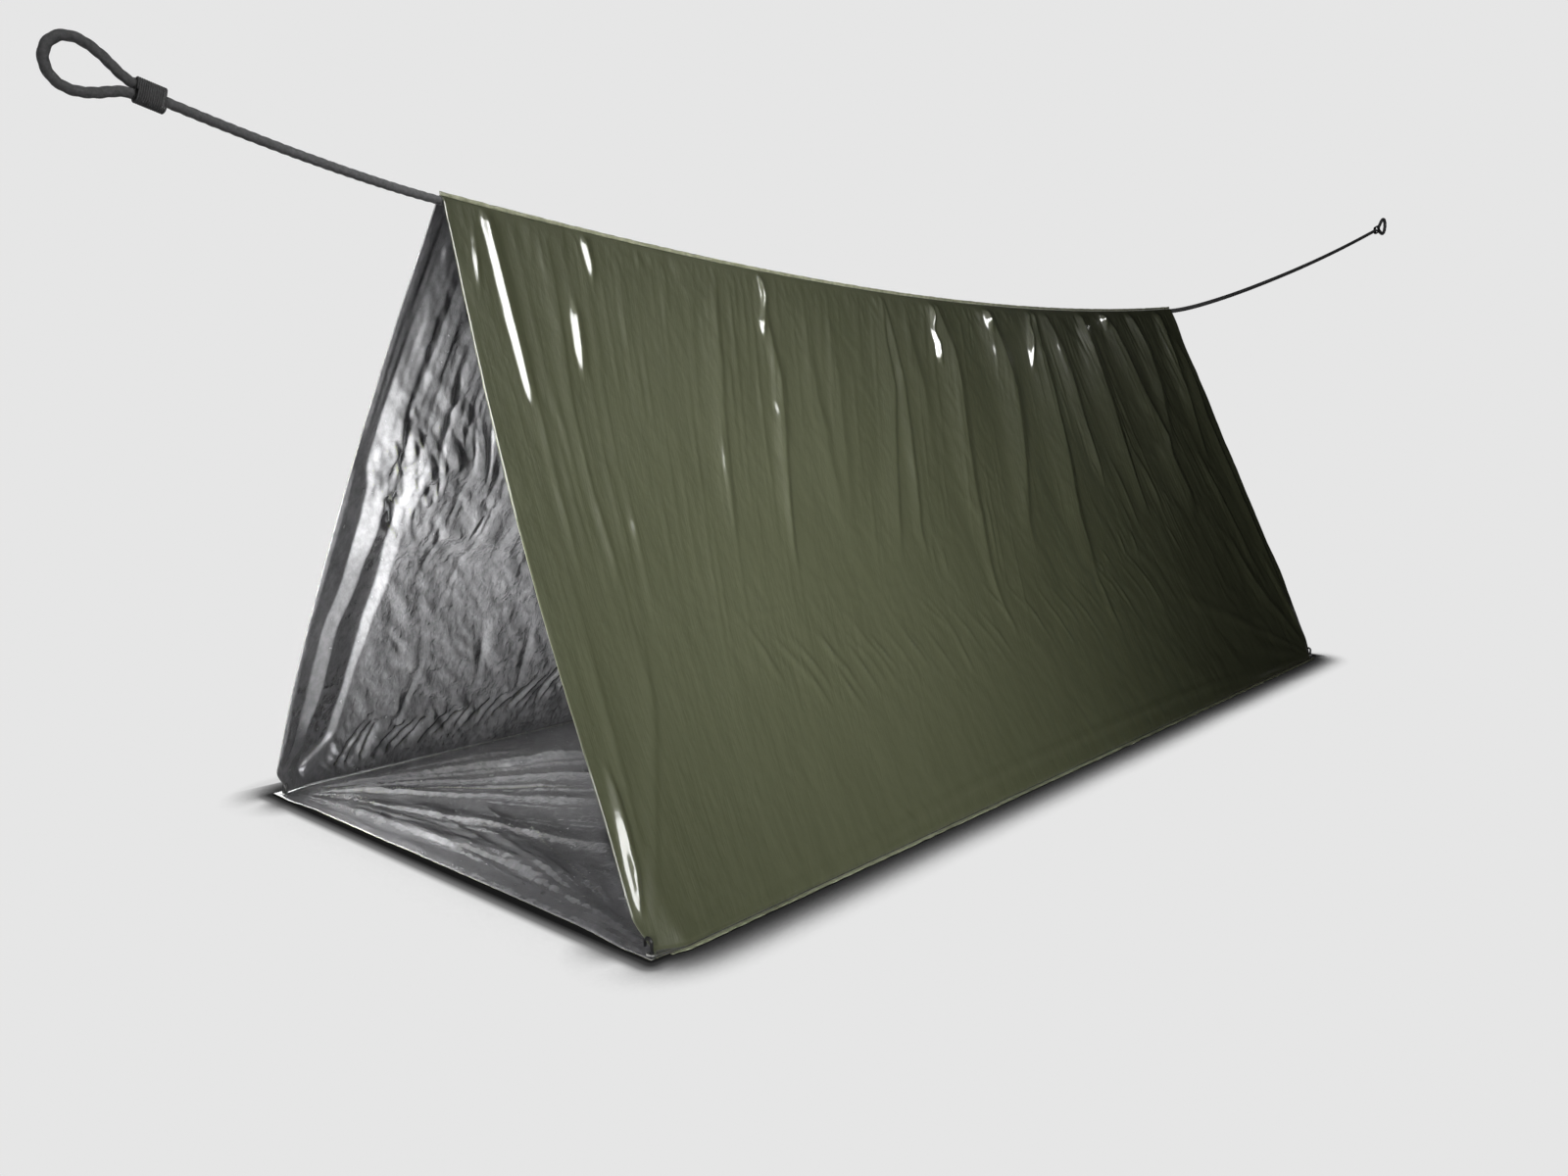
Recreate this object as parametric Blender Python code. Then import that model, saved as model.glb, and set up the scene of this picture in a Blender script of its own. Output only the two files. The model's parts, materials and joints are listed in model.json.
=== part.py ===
"""Emergency tube tent, pitched as a wedge over a ridge line and pegged down at its four corners.

Metres, +Z up. The origin lies on the ground under the middle of the tent. The ridge runs along Y,
the entrance that is usually looked into faces -Y, and +X is the right-hand wall.
The tent is one tube of thin metallised film, open at both ends. Its three sides are named pieces
here, joined by heat-sealed seams along the ridge and along both edges of the floor.
"""

import math

import bmesh
import bpy
from mathutils import Vector

# The pitched tube
BASE_LENGTH = 2.40        # ground corner to ground corner, along the ridge
BASE_WIDTH = 0.89         # ground corner to ground corner, across the entrance
RIDGE_HEIGHT = 0.911      # top of the ridge seam above the ground, at both ends
RIDGE_SAG = 0.054         # the line hangs this much lower in the middle
RIDGE_INSET = 0.044       # each end of the ridge stands in from the ground corners
FILM = 0.0002             # film thickness, heavier than the real 0.05 mm
BASE_BOW = 0.003          # the long sides bow out by this much between the pegs

# Seams
RIDGE_SEAM_HEIGHT = 0.005
BASE_SEAM_WIDTH = 0.008
SEAM_THICKNESS = 2 * FILM
SEAM_PUCKER = 0.0008      # sideways waves of the ridge seam
SEAM_TAPER = 0.03         # length over which a floor seam narrows at its ends
SEAM_END_SHARE = 0.35     # a floor seam's width at its ends, against the rest
RIDGE_SEAM_STEPS = 64
PUCKER_TURN_STEPS = 2.4   # radians of the pucker's wave from one step to the next

# Clearances
TOUCH = 0.0003            # between pieces that rest on each other
LINE_CLEARANCE = 0.0005   # between the ridge line and the film over it
PEG_CLEARANCE = 0.0010    # between a peg and the eyelet's bore
FOOT_INSET = 0.0015       # a wall's foot stands in from the floor's edge

# The ridge line
CORD_DIAMETER = 0.012
LINE_STEPS = 34           # straight pieces in the line inside the tent
CURVE_STEPS = 12          # pieces between two points of a route, before it is evened out
CORD_STEP = 3 * CORD_DIAMETER
SEIZING_LENGTH = 0.034
SEIZING_WRAP = 0.0022     # thickness of the twine round the two strands
EYE_RADIUS = 0.0265
SEIZING_END_SHARE = 0.86  # size of the seizing's two ends, against its middle
SEIZING_RUN_SHARE = 0.16  # share of its length over which each end narrows
SEIZING_STEPS = 6         # steps round half of its outline
EYE_LENGTH = 0.062        # from the seizing to the middle of the eye's round end
# The eye's outline between the seizing and its round end, as shares of its length and its radius
EYE_SHARES = ((0.30, 0.42), (0.54, 0.72), (0.78, 0.93))

# Corner eyelets
EYELET_INSET = 0.012      # the eyelet's centre, in from both edges of its corner
FLANGE_WIDTH = 0.0026
EYELET_WALL = 0.0005
EYELET_CROWN = 0.0009     # height of the rolled flange above the film
ROLL_SHARE = 0.3          # share of the flange's width that its rounded rim takes
RIM_SHARE = 0.4           # height of the flange's outer rim, against its crown
BORE_SHARE = 0.5          # height of the bore's upper edge, against the crown
CLINCH_WIDTH = 0.0010     # the barrel's lower end, curled out under the washer
CLINCH_THICKNESS = 0.0005
WASHER_THICKNESS = 0.0005
GROUND_GAP = 0.0002       # the clinched end stays this far off the ground
CORNER_CELL = 0.024       # the raised square round each eyelet
CORNER_RAMP = 0.030       # the floor rises to it over this distance
CORNER_PULL = 0.022       # the walls' lower corners are drawn in this far round the eyelets
PULL_RUN = 0.05
ROUND_STEPS = 20
CUTTER_HEIGHT = 0.01      # of the guide cylinders that cut the eyelets' holes

# Wire pegs
PEG_DIAMETER = 0.005
PEG_DEPTH = 0.150         # length below the ground
PEG_TIP_LENGTH = 0.018
PEG_TIP_SHARE = 0.22      # the tip's blunt end against the wire
HOOK_RADIUS = 0.0055      # of the wire's centre line
HOOK_TOP = 0.0195         # height of the centre line's highest point
HOOK_LEG_BOTTOM = 0.0085
HOOK_STEPS = 8

# How far the walls leave their flat planes, front end, middle and rear end, outward positive
RIGHT_BELLY = (-0.017, -0.020, -0.006)
LEFT_BELLY = (0.024, -0.014, -0.008)

# Main folds of the walls: place along the half ridge (-1 front, 1 rear), share of the wall's height
# where the fold dies out, crest height and half width as shares of FOLD_HEIGHT and FOLD_WIDTH
FOLD_HEIGHT = 0.010
FOLD_WIDTH = 0.050
RIGHT_FOLD_SHARES = (
    (-0.92, 0.10, 0.6, 0.60), (-0.59, 0.45, 0.6, 0.90), (-0.47, 0.42, 0.9, 0.90),
    (-0.16, 0.45, 0.9, 0.90), (-0.01, 0.25, 1.0, 0.90), (0.16, 0.42, 1.3, 1.20),
    (0.32, 0.38, 1.4, 1.10), (0.43, 0.45, 0.9, 0.80), (0.54, 0.42, 1.0, 0.80),
    (0.66, 0.38, 1.3, 1.10), (0.80, 0.35, 1.0, 0.90), (0.92, 0.10, 0.9, 0.70),
)
LEFT_FOLD_SHARES = (
    (-0.94, 0.03, 0.9, 0.56), (-0.86, 0.06, 0.8, 0.60), (-0.62, 0.40, 0.7, 1.00),
    (-0.34, 0.42, 0.9, 1.10), (-0.08, 0.35, 1.0, 1.10), (0.15, 0.42, 1.1, 1.10),
    (0.38, 0.40, 1.2, 1.10), (0.58, 0.38, 1.1, 1.00), (0.78, 0.40, 1.0, 1.00),
    (0.92, 0.10, 0.9, 0.70),
)
VALLEY_SHARE = 0.6        # depth of the hollow behind a crest, against the crest
RIGHT_LEAN = 0.38         # folds run forward on their way down, by this much at the most
LEFT_LEAN = 0.20
LEAN_SHARE = 0.73         # share of the ridge, from the front, where they lean
FADE_SHARE = 0.25         # share of the wall's height over which a fold dies out
TOP_FADE_SHARE = 0.12     # share of the wall's height over which folds run out into the ridge
COLUMN_GAP = 0.13         # widest column of the wall's mesh
COLUMN_SHARE = 0.4        # columns nearer than this share of a fold's half width are left out
ROW_SHARES = (0.0, 0.05, 0.16, 0.28, 0.40, 0.52, 0.64, 0.76, 0.88, 0.96, 1.0)
ARCH_STEPS = 3            # rows that carry the film over the ridge line

# The line's free stretches, measured outward and upward from the ends of the ridge
FRONT_ROUTE = (
    (0.000, 0.0000), (0.025, 0.0026), (0.050, 0.0055), (0.075, 0.0088), (0.100, 0.0124),
    (0.125, 0.0163), (0.150, 0.0204), (0.175, 0.0248), (0.200, 0.0293), (0.225, 0.0341),
    (0.250, 0.0391), (0.275, 0.0443), (0.300, 0.0497), (0.323, 0.0549), (0.345, 0.0600),
)
REAR_ROUTE = (
    (0.000, 0.0000), (0.050, 0.0056), (0.110, 0.0139), (0.180, 0.0251), (0.260, 0.0393),
    (0.360, 0.0583), (0.470, 0.0803), (0.590, 0.1056), (0.720, 0.1341), (0.860, 0.1656),
    (1.000, 0.1981), (1.140, 0.2316), (1.280, 0.2661), (1.420, 0.3016), (1.560, 0.3381),
    (1.700, 0.3756), (1.840, 0.4136),
)

HALF_BASE = BASE_LENGTH / 2
HALF_RIDGE = HALF_BASE - RIDGE_INSET
CORD_RADIUS = CORD_DIAMETER / 2
ARCH_RADIUS = CORD_RADIUS + LINE_CLEARANCE + FILM / 2
LINE_END_HEIGHT = RIDGE_HEIGHT - RIDGE_SEAM_HEIGHT - TOUCH - FILM / 2 - ARCH_RADIUS
PEG_RADIUS = PEG_DIAMETER / 2
BORE_RADIUS = PEG_RADIUS + PEG_CLEARANCE
BARREL_RADIUS = BORE_RADIUS + EYELET_WALL
CORNER_LIFT = GROUND_GAP + CLINCH_THICKNESS + WASHER_THICKNESS + 2 * TOUCH
STRAIGHT_REACH = HALF_BASE - CORNER_CELL - CORNER_RAMP   # the long sides are straight within this
SHARP_DEGREES = 35        # edges bent by more than this are shaded sharp
CORNERS = {"front_right": (1, -1), "front_left": (-1, -1), "rear_right": (1, 1), "rear_left": (-1, 1)}


def material(name, rgb, roughness, metallic=0.0):
    """A plain Principled material, its colour given as linear values."""
    made = bpy.data.materials.new(name)
    made.use_nodes = True
    shader = made.node_tree.nodes["Principled BSDF"]
    shader.inputs["Base Color"].default_value = (*rgb, 1.0)
    shader.inputs["Roughness"].default_value = roughness
    shader.inputs["Metallic"].default_value = metallic
    made.diffuse_color = (*rgb, 1.0)
    return made


def add_object(name, data, finish):
    item = bpy.data.objects.new(name, data)
    bpy.context.scene.collection.objects.link(item)
    data.materials.append(finish)
    return item


def shade(mesh):
    mesh.shade_smooth()
    mesh.set_sharp_from_angle(angle=math.radians(SHARP_DEGREES))


def mesh_object(name, verts, faces, finish):
    mesh = bpy.data.meshes.new(name)
    mesh.from_pydata([tuple(v) for v in verts], [], faces)
    mesh.update()
    shade(mesh)
    return add_object(name, mesh, finish)


def sheet(name, rows, thickness, offset, finish):
    """A sheet through rows of points, given thickness by Solidify."""
    columns = len(rows[0])
    verts = [point for row in rows for point in row]
    faces = []
    for r in range(len(rows) - 1):
        for c in range(columns - 1):
            low = r * columns + c
            faces.append((low, low + 1, low + columns + 1, low + columns))
    item = mesh_object(name, verts, faces, finish)
    solid = item.modifiers.new("thickness", "SOLIDIFY")
    solid.thickness = thickness
    solid.offset = offset
    return item


def tube(name, points, radius, finish, sides_level=2, tips=None):
    """A round cord or wire along points. tips gives a share of the radius for each point."""
    curve = bpy.data.curves.new(name, "CURVE")
    curve.dimensions = "3D"
    curve.bevel_depth = radius
    curve.bevel_resolution = sides_level
    curve.use_fill_caps = True
    spline = curve.splines.new("POLY")
    spline.points.add(len(points) - 1)
    for i, point in enumerate(points):
        spline.points[i].co = (*point, 1.0)
        spline.points[i].radius = tips[i] if tips else 1.0
    return add_object(name, curve, finish)


def turned(name, profile, finish):
    """A ring turned about Z from a closed outline of (radius, height) points."""
    shape = bmesh.new()
    ring = [shape.verts.new((radius, 0.0, height)) for radius, height in profile]
    edges = [shape.edges.new((ring[i], ring[(i + 1) % len(ring)])) for i in range(len(ring))]
    bmesh.ops.spin(shape, geom=ring + edges, cent=(0, 0, 0), axis=(0, 0, 1), angle=math.tau,
                   steps=ROUND_STEPS, use_merge=True)
    bmesh.ops.recalc_face_normals(shape, faces=shape.faces)
    mesh = bpy.data.meshes.new(name)
    shape.to_mesh(mesh)
    shape.free()
    shade(mesh)
    return add_object(name, mesh, finish)


def ease(x):
    """Smooth step from 0 to 1."""
    x = min(max(x, 0.0), 1.0)
    return x * x * (3 - 2 * x)


def blend3(values, share):
    """Reads three values spread over 0 to 1, with a smooth change between them."""
    front, middle, rear = values
    if share < 0.5:
        return front + (middle - front) * ease(2 * share)
    return middle + (rear - middle) * ease(2 * share - 1)


def smooth_route(route, step):
    """Evenly spaced points on a smooth curve through the route's own points."""
    points = [Vector(p) for p in route]
    ends = [2 * points[0] - points[1]] + points + [2 * points[-1] - points[-2]]
    fine = []
    for i in range(1, len(ends) - 2):
        before, start, end, after = ends[i - 1:i + 3]
        for k in range(CURVE_STEPS):
            t = k / CURVE_STEPS
            fine.append(0.5 * (2 * start + (end - before) * t
                               + (2 * before - 5 * start + 4 * end - after) * t * t
                               + (3 * start - before - 3 * end + after) * t ** 3))
    fine.append(points[-1])
    length = sum((b - a).length for a, b in zip(fine, fine[1:]))
    count = max(2, round(length / step))
    picked, run, target = [fine[0]], 0.0, length / count
    for a, b in zip(fine, fine[1:]):
        stretch = (b - a).length
        while run + stretch >= target - 1e-9 and len(picked) < count:
            picked.append(a + (b - a) * ((target - run) / stretch))
            target += length / count
        run += stretch
    return picked + [points[-1]]


def line_height(y):
    """Height of the ridge line's centre inside the tent."""
    return LINE_END_HEIGHT - RIDGE_SAG * (1 - (y / HALF_RIDGE) ** 2)


def floor_edge(y):
    """Half the floor's width at y. The side runs straight out to its bow, past each corner's ramp."""
    return BASE_WIDTH / 2 + BASE_BOW * min(1.0, (HALF_BASE - abs(y)) / (HALF_BASE - STRAIGHT_REACH))


def wall_foot(y):
    """Where a wall's foot stands at y: its distance from the middle, and its height on the floor."""
    inward = CORNER_PULL * (1 - ease((HALF_BASE - CORNER_PULL - abs(y)) / PULL_RUN))
    climb = min(max((abs(y) - STRAIGHT_REACH) / CORNER_RAMP, 0.0), 1.0)
    return floor_edge(y) - FOOT_INSET - inward, 1.5 * FILM + TOUCH + CORNER_LIFT * climb


def fold_height(y, up, folds):
    """How far the folds lift the film off the wall, at y along the ridge and up its slope."""
    total = 0.0
    for place, low, height, width in folds:
        off = (y - place * HALF_RIDGE) / (width * FOLD_WIDTH)
        crest = max(0.0, 1 - abs(off)) - VALLEY_SHARE * max(0.0, 1 - abs(off - 1))
        total += height * FOLD_HEIGHT * crest * ease((up - low) / FADE_SHARE)
    return total * ease((1 - up) / TOP_FADE_SHARE)


def columns(folds):
    """Places along the ridge for the wall's columns: each fold's crest and sides, and fillers."""
    places = {-HALF_RIDGE, HALF_RIDGE}
    for place, _, _, width in folds:
        half = width * FOLD_WIDTH
        for side in (-1, 0, 1):
            y = place * HALF_RIDGE + side * half
            if all(abs(y - other) > COLUMN_SHARE * half for other in places):
                places.add(y)
    ordered = sorted(places)
    filled = [ordered[0]]
    for y in ordered[1:]:
        parts = math.ceil((y - filled[-1]) / COLUMN_GAP)
        start = filled[-1]
        filled += [start + (y - start) * k / parts for k in range(1, parts + 1)]
    return filled


def wall(name, side, folds, belly, lean, finish):
    """One sloping side, from its foot on the ground over the top of the ridge line."""
    foot_reach = HALF_BASE - CORNER_PULL
    rows = [[] for _ in range(len(ROW_SHARES) + ARCH_STEPS)]
    for y in columns(folds):
        run = (y + HALF_RIDGE) / (2 * HALF_RIDGE * LEAN_SHARE)
        y_foot = y * foot_reach / HALF_RIDGE - (lean * math.sin(math.pi * run) if run < 1 else 0.0)
        foot_out, foot_height = wall_foot(y_foot)
        foot = Vector((foot_out, y_foot, foot_height))
        centre = Vector((0.0, y, line_height(y)))
        slope = math.atan2(foot.x, centre.z - foot.z)
        out = Vector((math.cos(slope), 0.0, math.sin(slope)))
        top = centre + ARCH_RADIUS * out
        hollow = blend3(belly, (y + HALF_RIDGE) / (2 * HALF_RIDGE))
        for row, up in zip(rows, ROW_SHARES):
            off = hollow * math.sin(math.pi * up) + fold_height(y, up, folds)
            row.append(foot.lerp(top, up) + off * out)
        crown = math.pi / 2 - (TOUCH / 2) / ARCH_RADIUS
        for k in range(ARCH_STEPS):
            angle = slope + (crown - slope) * (k + 1) / ARCH_STEPS
            arch = ARCH_RADIUS * Vector((math.cos(angle), 0.0, math.sin(angle)))
            rows[len(ROW_SHARES) + k].append(centre + arch)
    if side < 0:
        rows = [[Vector((-p.x, p.y, p.z)) for p in row] for row in rows]
        rows.reverse()
    return sheet(name, rows, FILM, 0.0, finish)


def floor_sheet(finish, cutters):
    """The floor, flat on the ground, with its corners raised over the eyelets' washers."""
    outer = HALF_BASE - CORNER_CELL
    along = [-HALF_BASE, -outer, -STRAIGHT_REACH, STRAIGHT_REACH, outer, HALF_BASE]
    rows = []
    for side_share in (-1, 1):
        rows_here = []
        for inset in (0.0, CORNER_CELL, CORNER_CELL + CORNER_RAMP):
            row = []
            for y in along:
                raised = inset <= CORNER_CELL and abs(y) >= outer
                x = side_share * (floor_edge(y) - inset)
                row.append(Vector((x, y, CORNER_LIFT if raised else 0.0)))
            rows_here.append(row)
        rows += rows_here if side_share < 0 else rows_here[::-1]
    rows.reverse()
    item = sheet("floor_sheet", rows, FILM, 1.0, finish)
    for cutter in cutters:
        cut = item.modifiers.new("eyelet hole", "BOOLEAN")
        cut.operation = "DIFFERENCE"
        cut.object = cutter
    return item


def hole_cutter(name, x, y):
    """A guide cylinder that cuts the film for one eyelet."""
    shape = bmesh.new()
    bmesh.ops.create_cone(shape, cap_ends=True, segments=ROUND_STEPS, depth=CUTTER_HEIGHT,
                          radius1=BARREL_RADIUS + TOUCH, radius2=BARREL_RADIUS + TOUCH)
    mesh = bpy.data.meshes.new(name)
    shape.to_mesh(mesh)
    shape.free()
    item = bpy.data.objects.new(name, mesh)
    bpy.context.scene.collection.objects.link(item)
    item.location = (x, y, CORNER_LIFT)
    item.hide_render = True
    item.display_type = "WIRE"
    return item


def base_seam(name, side, finish):
    """The sealed edge that lies outside the wall's foot, narrowed near the pegs."""
    reach = HALF_BASE - SEAM_TAPER
    narrow = [reach - SEAM_TAPER * k / 3 for k in range(3)]
    places = sorted({end * y for y in narrow + [STRAIGHT_REACH] for end in (-1, 1)})
    inner, outer = [], []
    for y in places:
        widened = (1 - SEAM_END_SHARE) * ease((reach - abs(y)) / SEAM_TAPER)
        width = BASE_SEAM_WIDTH * (SEAM_END_SHARE + widened)
        start = floor_edge(y) + TOUCH
        inner.append(Vector((side * start, y, 0.0)))
        outer.append(Vector((side * (start + width), y, 0.0)))
    rows = [outer, inner] if side > 0 else [inner, outer]
    return sheet(name, rows, SEAM_THICKNESS, 1.0, finish)


def ridge_seam(finish):
    """The sealed edge that stands along the ridge, lightly puckered."""
    low, high = [], []
    for i in range(RIDGE_SEAM_STEPS + 1):
        y = HALF_RIDGE * (2 * i / RIDGE_SEAM_STEPS - 1)
        foot = line_height(y) + ARCH_RADIUS + FILM / 2 + TOUCH
        lean = SEAM_PUCKER * math.sin(PUCKER_TURN_STEPS * i)
        low.append(Vector((0.0, y, foot)))
        high.append(Vector((lean, y, foot + RIDGE_SEAM_HEIGHT)))
    return sheet("ridge_seam", [low, high], SEAM_THICKNESS, 0.0, finish)


def eyelet(corner, x, y, finish):
    """The barrel: a rolled flange above the film and a clinched end under the washer."""
    seat = CORNER_LIFT + FILM + TOUCH
    flange = BARREL_RADIUS + FLANGE_WIDTH
    under = GROUND_GAP + CLINCH_THICKNESS
    profile = [
        (BORE_RADIUS, GROUND_GAP), (BARREL_RADIUS + CLINCH_WIDTH, GROUND_GAP),
        (BARREL_RADIUS + CLINCH_WIDTH, under), (BARREL_RADIUS, under),
        (BARREL_RADIUS, seat), (flange, seat),
        (flange, seat + RIM_SHARE * EYELET_CROWN),
        (flange - ROLL_SHARE * FLANGE_WIDTH, seat + EYELET_CROWN),
        (BARREL_RADIUS, seat + EYELET_CROWN),
        (BORE_RADIUS, seat + BORE_SHARE * EYELET_CROWN),
    ]
    item = turned("eyelet_" + corner, profile, finish)
    item.location = (x, y, 0.0)
    return item


def washer(corner, x, y, finish):
    """The ring under the film that the barrel is clinched over."""
    low = GROUND_GAP + CLINCH_THICKNESS + TOUCH
    inner, outer = BARREL_RADIUS + TOUCH, BARREL_RADIUS + FLANGE_WIDTH
    profile = [(inner, low), (outer, low), (outer, low + WASHER_THICKNESS), (inner, low + WASHER_THICKNESS)]
    item = turned("washer_" + corner, profile, finish)
    item.location = (x, y, 0.0)
    return item


def peg(corner, x, y, side, finish):
    """A bent wire peg in the ground, its hook turned in over the corner of the floor."""
    points = [Vector((0, 0, -PEG_DEPTH)), Vector((0, 0, PEG_TIP_LENGTH - PEG_DEPTH)), Vector((0, 0, 0))]
    bend = HOOK_TOP - HOOK_RADIUS
    for k in range(HOOK_STEPS + 1):
        angle = math.pi * k / HOOK_STEPS
        points.append(Vector((-side * HOOK_RADIUS * (1 - math.cos(angle)), 0,
                              bend + HOOK_RADIUS * math.sin(angle))))
    points.append(Vector((-side * 2 * HOOK_RADIUS, 0, HOOK_LEG_BOTTOM)))
    tips = [PEG_TIP_SHARE] + [1.0] * (len(points) - 1)
    item = tube("peg_" + corner, points, PEG_RADIUS, finish, tips=tips)
    item.location = (x, y, 0.0)
    return item


def ridge_cord(finish):
    """The line inside the tent, hanging in one shallow curve under the ridge."""
    reach = HALF_RIDGE - TOUCH / 2
    points = []
    for i in range(LINE_STEPS + 1):
        y = reach * (2 * i / LINE_STEPS - 1)
        points.append(Vector((0.0, y, line_height(y))))
    return tube("ridge_cord", points, CORD_RADIUS, finish, sides_level=3)


def free_cord(name, end, route, finish):
    """A free stretch of the line, from an end of the ridge to its seizing."""
    points = [Vector((0.0, end * (HALF_RIDGE + TOUCH / 2 + out), LINE_END_HEIGHT + up)) for out, up in route]
    return tube(name, smooth_route(points, CORD_STEP), CORD_RADIUS, finish, sides_level=3)


def eye_frame(end, route):
    """Where the seizing starts, the line's direction there and the direction across it."""
    (out_a, up_a), (out_b, up_b) = route[-2:]
    start = Vector((0.0, end * (HALF_RIDGE + TOUCH / 2 + out_b), LINE_END_HEIGHT + up_b))
    along = Vector((0.0, end * (out_b - out_a), up_b - up_a)).normalized()
    across = Vector((0.0, -along.z * end, along.y * end))
    return start, along, across


def seizing(name, end, route, finish):
    """The twine wrapped round both strands where the eye is turned back on the line."""
    start, along, across = eye_frame(end, route)
    half_wide = CORD_RADIUS + SEIZING_WRAP
    half_tall = CORD_DIAMETER + TOUCH + SEIZING_WRAP
    straight = half_tall - half_wide
    outline = []
    for centre, first in ((straight, -0.5), (-straight, 0.5)):
        for k in range(SEIZING_STEPS + 1):
            angle = math.pi * (first + k / SEIZING_STEPS) + math.pi / 2
            outline.append((half_wide * math.cos(angle), centre + half_wide * math.sin(angle)))
    narrowing = SEIZING_RUN_SHARE * SEIZING_LENGTH
    stations = ((TOUCH, SEIZING_END_SHARE), (narrowing, 1.0), (SEIZING_LENGTH - narrowing, 1.0),
                (SEIZING_LENGTH - TOUCH, SEIZING_END_SHARE))
    verts, faces, count = [], [], len(outline)
    for run, share in stations:
        for wide, tall in outline:
            verts.append(start + along * run + across * tall * share + Vector((wide * share, 0, 0)))
    for ring in range(len(stations) - 1):
        for k in range(count):
            a, b = ring * count + k, ring * count + (k + 1) % count
            faces.append((a, b, b + count, a + count))
    faces.append(tuple(range(count)))
    faces.append(tuple(range((len(stations) - 1) * count, len(stations) * count)))
    item = mesh_object(name, verts, faces, finish)
    shape = bmesh.new()
    shape.from_mesh(item.data)
    bmesh.ops.recalc_face_normals(shape, faces=shape.faces)
    shape.to_mesh(item.data)
    shape.free()
    return item


def eye(name, end, route, finish):
    """The eye that goes over a hook or round a tree's sling."""
    start, along, across = eye_frame(end, route)
    start = start + along * SEIZING_LENGTH
    leg = CORD_RADIUS + TOUCH / 2
    half = [(0.0, leg), (CORD_RADIUS, leg)]
    half += [(run * EYE_LENGTH, tall * EYE_RADIUS) for run, tall in EYE_SHARES]
    bend = [(EYE_LENGTH + EYE_RADIUS * math.sin(math.radians(a)), EYE_RADIUS * math.cos(math.radians(a)))
            for a in range(0, 181, 30)]
    outline = half + bend + [(run, -tall) for run, tall in reversed(half)]
    points = [start + along * run + across * tall for run, tall in outline]
    return tube(name, smooth_route(points, CORD_RADIUS), CORD_RADIUS, finish, sides_level=2)


def build():
    for item in list(bpy.data.objects):
        bpy.data.objects.remove(item, do_unlink=True)

    olive = material("olive_film", (0.110, 0.120, 0.063), 0.28)
    silver = material("silver_film", (0.42, 0.42, 0.42), 0.22, 1.0)
    seam = material("sealed_edge", (0.42, 0.43, 0.30), 0.35)
    plated = material("plated_steel", (0.60, 0.60, 0.58), 0.25, 1.0)
    black = material("black_steel", (0.010, 0.010, 0.010), 0.35, 0.6)
    rope = material("grey_rope", (0.095, 0.095, 0.100), 0.80)
    twine = material("black_twine", (0.030, 0.030, 0.032), 0.75)

    wall("right_wall", 1, RIGHT_FOLD_SHARES, RIGHT_BELLY, RIGHT_LEAN, olive)
    wall("left_wall", -1, LEFT_FOLD_SHARES, LEFT_BELLY, LEFT_LEAN, olive)
    ridge_seam(seam)
    base_seam("right_floor_seam", 1, seam)
    base_seam("left_floor_seam", -1, seam)

    cutters = []
    for corner, (side, end) in CORNERS.items():
        x = side * (BASE_WIDTH / 2 - EYELET_INSET)
        y = end * (HALF_BASE - EYELET_INSET)
        cutters.append(hole_cutter("hole_guide_" + corner, x, y))
        eyelet(corner, x, y, plated)
        washer(corner, x, y, plated)
        peg(corner, x, y, side, black)
    floor_sheet(silver, cutters)

    ridge_cord(rope)
    for name, end, route in (("front", -1, FRONT_ROUTE), ("rear", 1, REAR_ROUTE)):
        free_cord(name + "_cord", end, route, rope)
        seizing(name + "_seizing", end, route, twine)
        eye(name + "_eye", end, route, rope)


build()
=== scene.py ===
"""Emergency tube tent: the finish of every surface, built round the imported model.

Metres, +Z up. The ridge runs along Y, the photographed entrance faces -Y, and +X is the right-hand
wall. The film is drawn as three wrinkled sheets, olive outside and silver inside, in the places of
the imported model's walls and floor.
"""

import json
import math

import bmesh
import bpy
import numpy as np
from mathutils import Matrix, Vector

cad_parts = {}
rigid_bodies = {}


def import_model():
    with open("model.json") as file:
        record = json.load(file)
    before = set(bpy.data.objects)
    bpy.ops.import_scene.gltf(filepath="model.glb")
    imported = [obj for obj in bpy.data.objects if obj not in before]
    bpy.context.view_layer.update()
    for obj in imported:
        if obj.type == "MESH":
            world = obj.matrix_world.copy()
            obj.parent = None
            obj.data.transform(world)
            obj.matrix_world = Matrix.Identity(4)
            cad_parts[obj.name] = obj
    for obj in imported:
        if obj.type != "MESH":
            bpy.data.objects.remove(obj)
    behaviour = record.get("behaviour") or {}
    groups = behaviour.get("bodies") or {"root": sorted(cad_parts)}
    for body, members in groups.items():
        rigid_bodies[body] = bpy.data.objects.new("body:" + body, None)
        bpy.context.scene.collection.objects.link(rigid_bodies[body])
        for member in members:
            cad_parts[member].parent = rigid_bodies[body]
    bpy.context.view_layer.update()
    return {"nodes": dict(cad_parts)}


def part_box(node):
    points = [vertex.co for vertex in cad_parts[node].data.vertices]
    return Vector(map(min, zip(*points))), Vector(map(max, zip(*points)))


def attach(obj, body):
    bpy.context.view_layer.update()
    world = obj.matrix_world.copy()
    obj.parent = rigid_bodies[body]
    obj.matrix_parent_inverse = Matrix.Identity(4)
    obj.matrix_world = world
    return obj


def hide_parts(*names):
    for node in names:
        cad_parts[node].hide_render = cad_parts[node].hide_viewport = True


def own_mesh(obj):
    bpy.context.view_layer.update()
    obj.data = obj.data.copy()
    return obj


# The camera, fitted to the tent's five visible corners in a 1600 x 1200 picture
CAMERA_PLACE = (1.427, -2.127, 0.652)
CAMERA_AZIMUTH = 40.359
CAMERA_ELEVATION = 8.852
CAMERA_ROLL = 0.889
CAMERA_LENS = 28.153
SENSOR_WIDTH = 36.0

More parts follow.
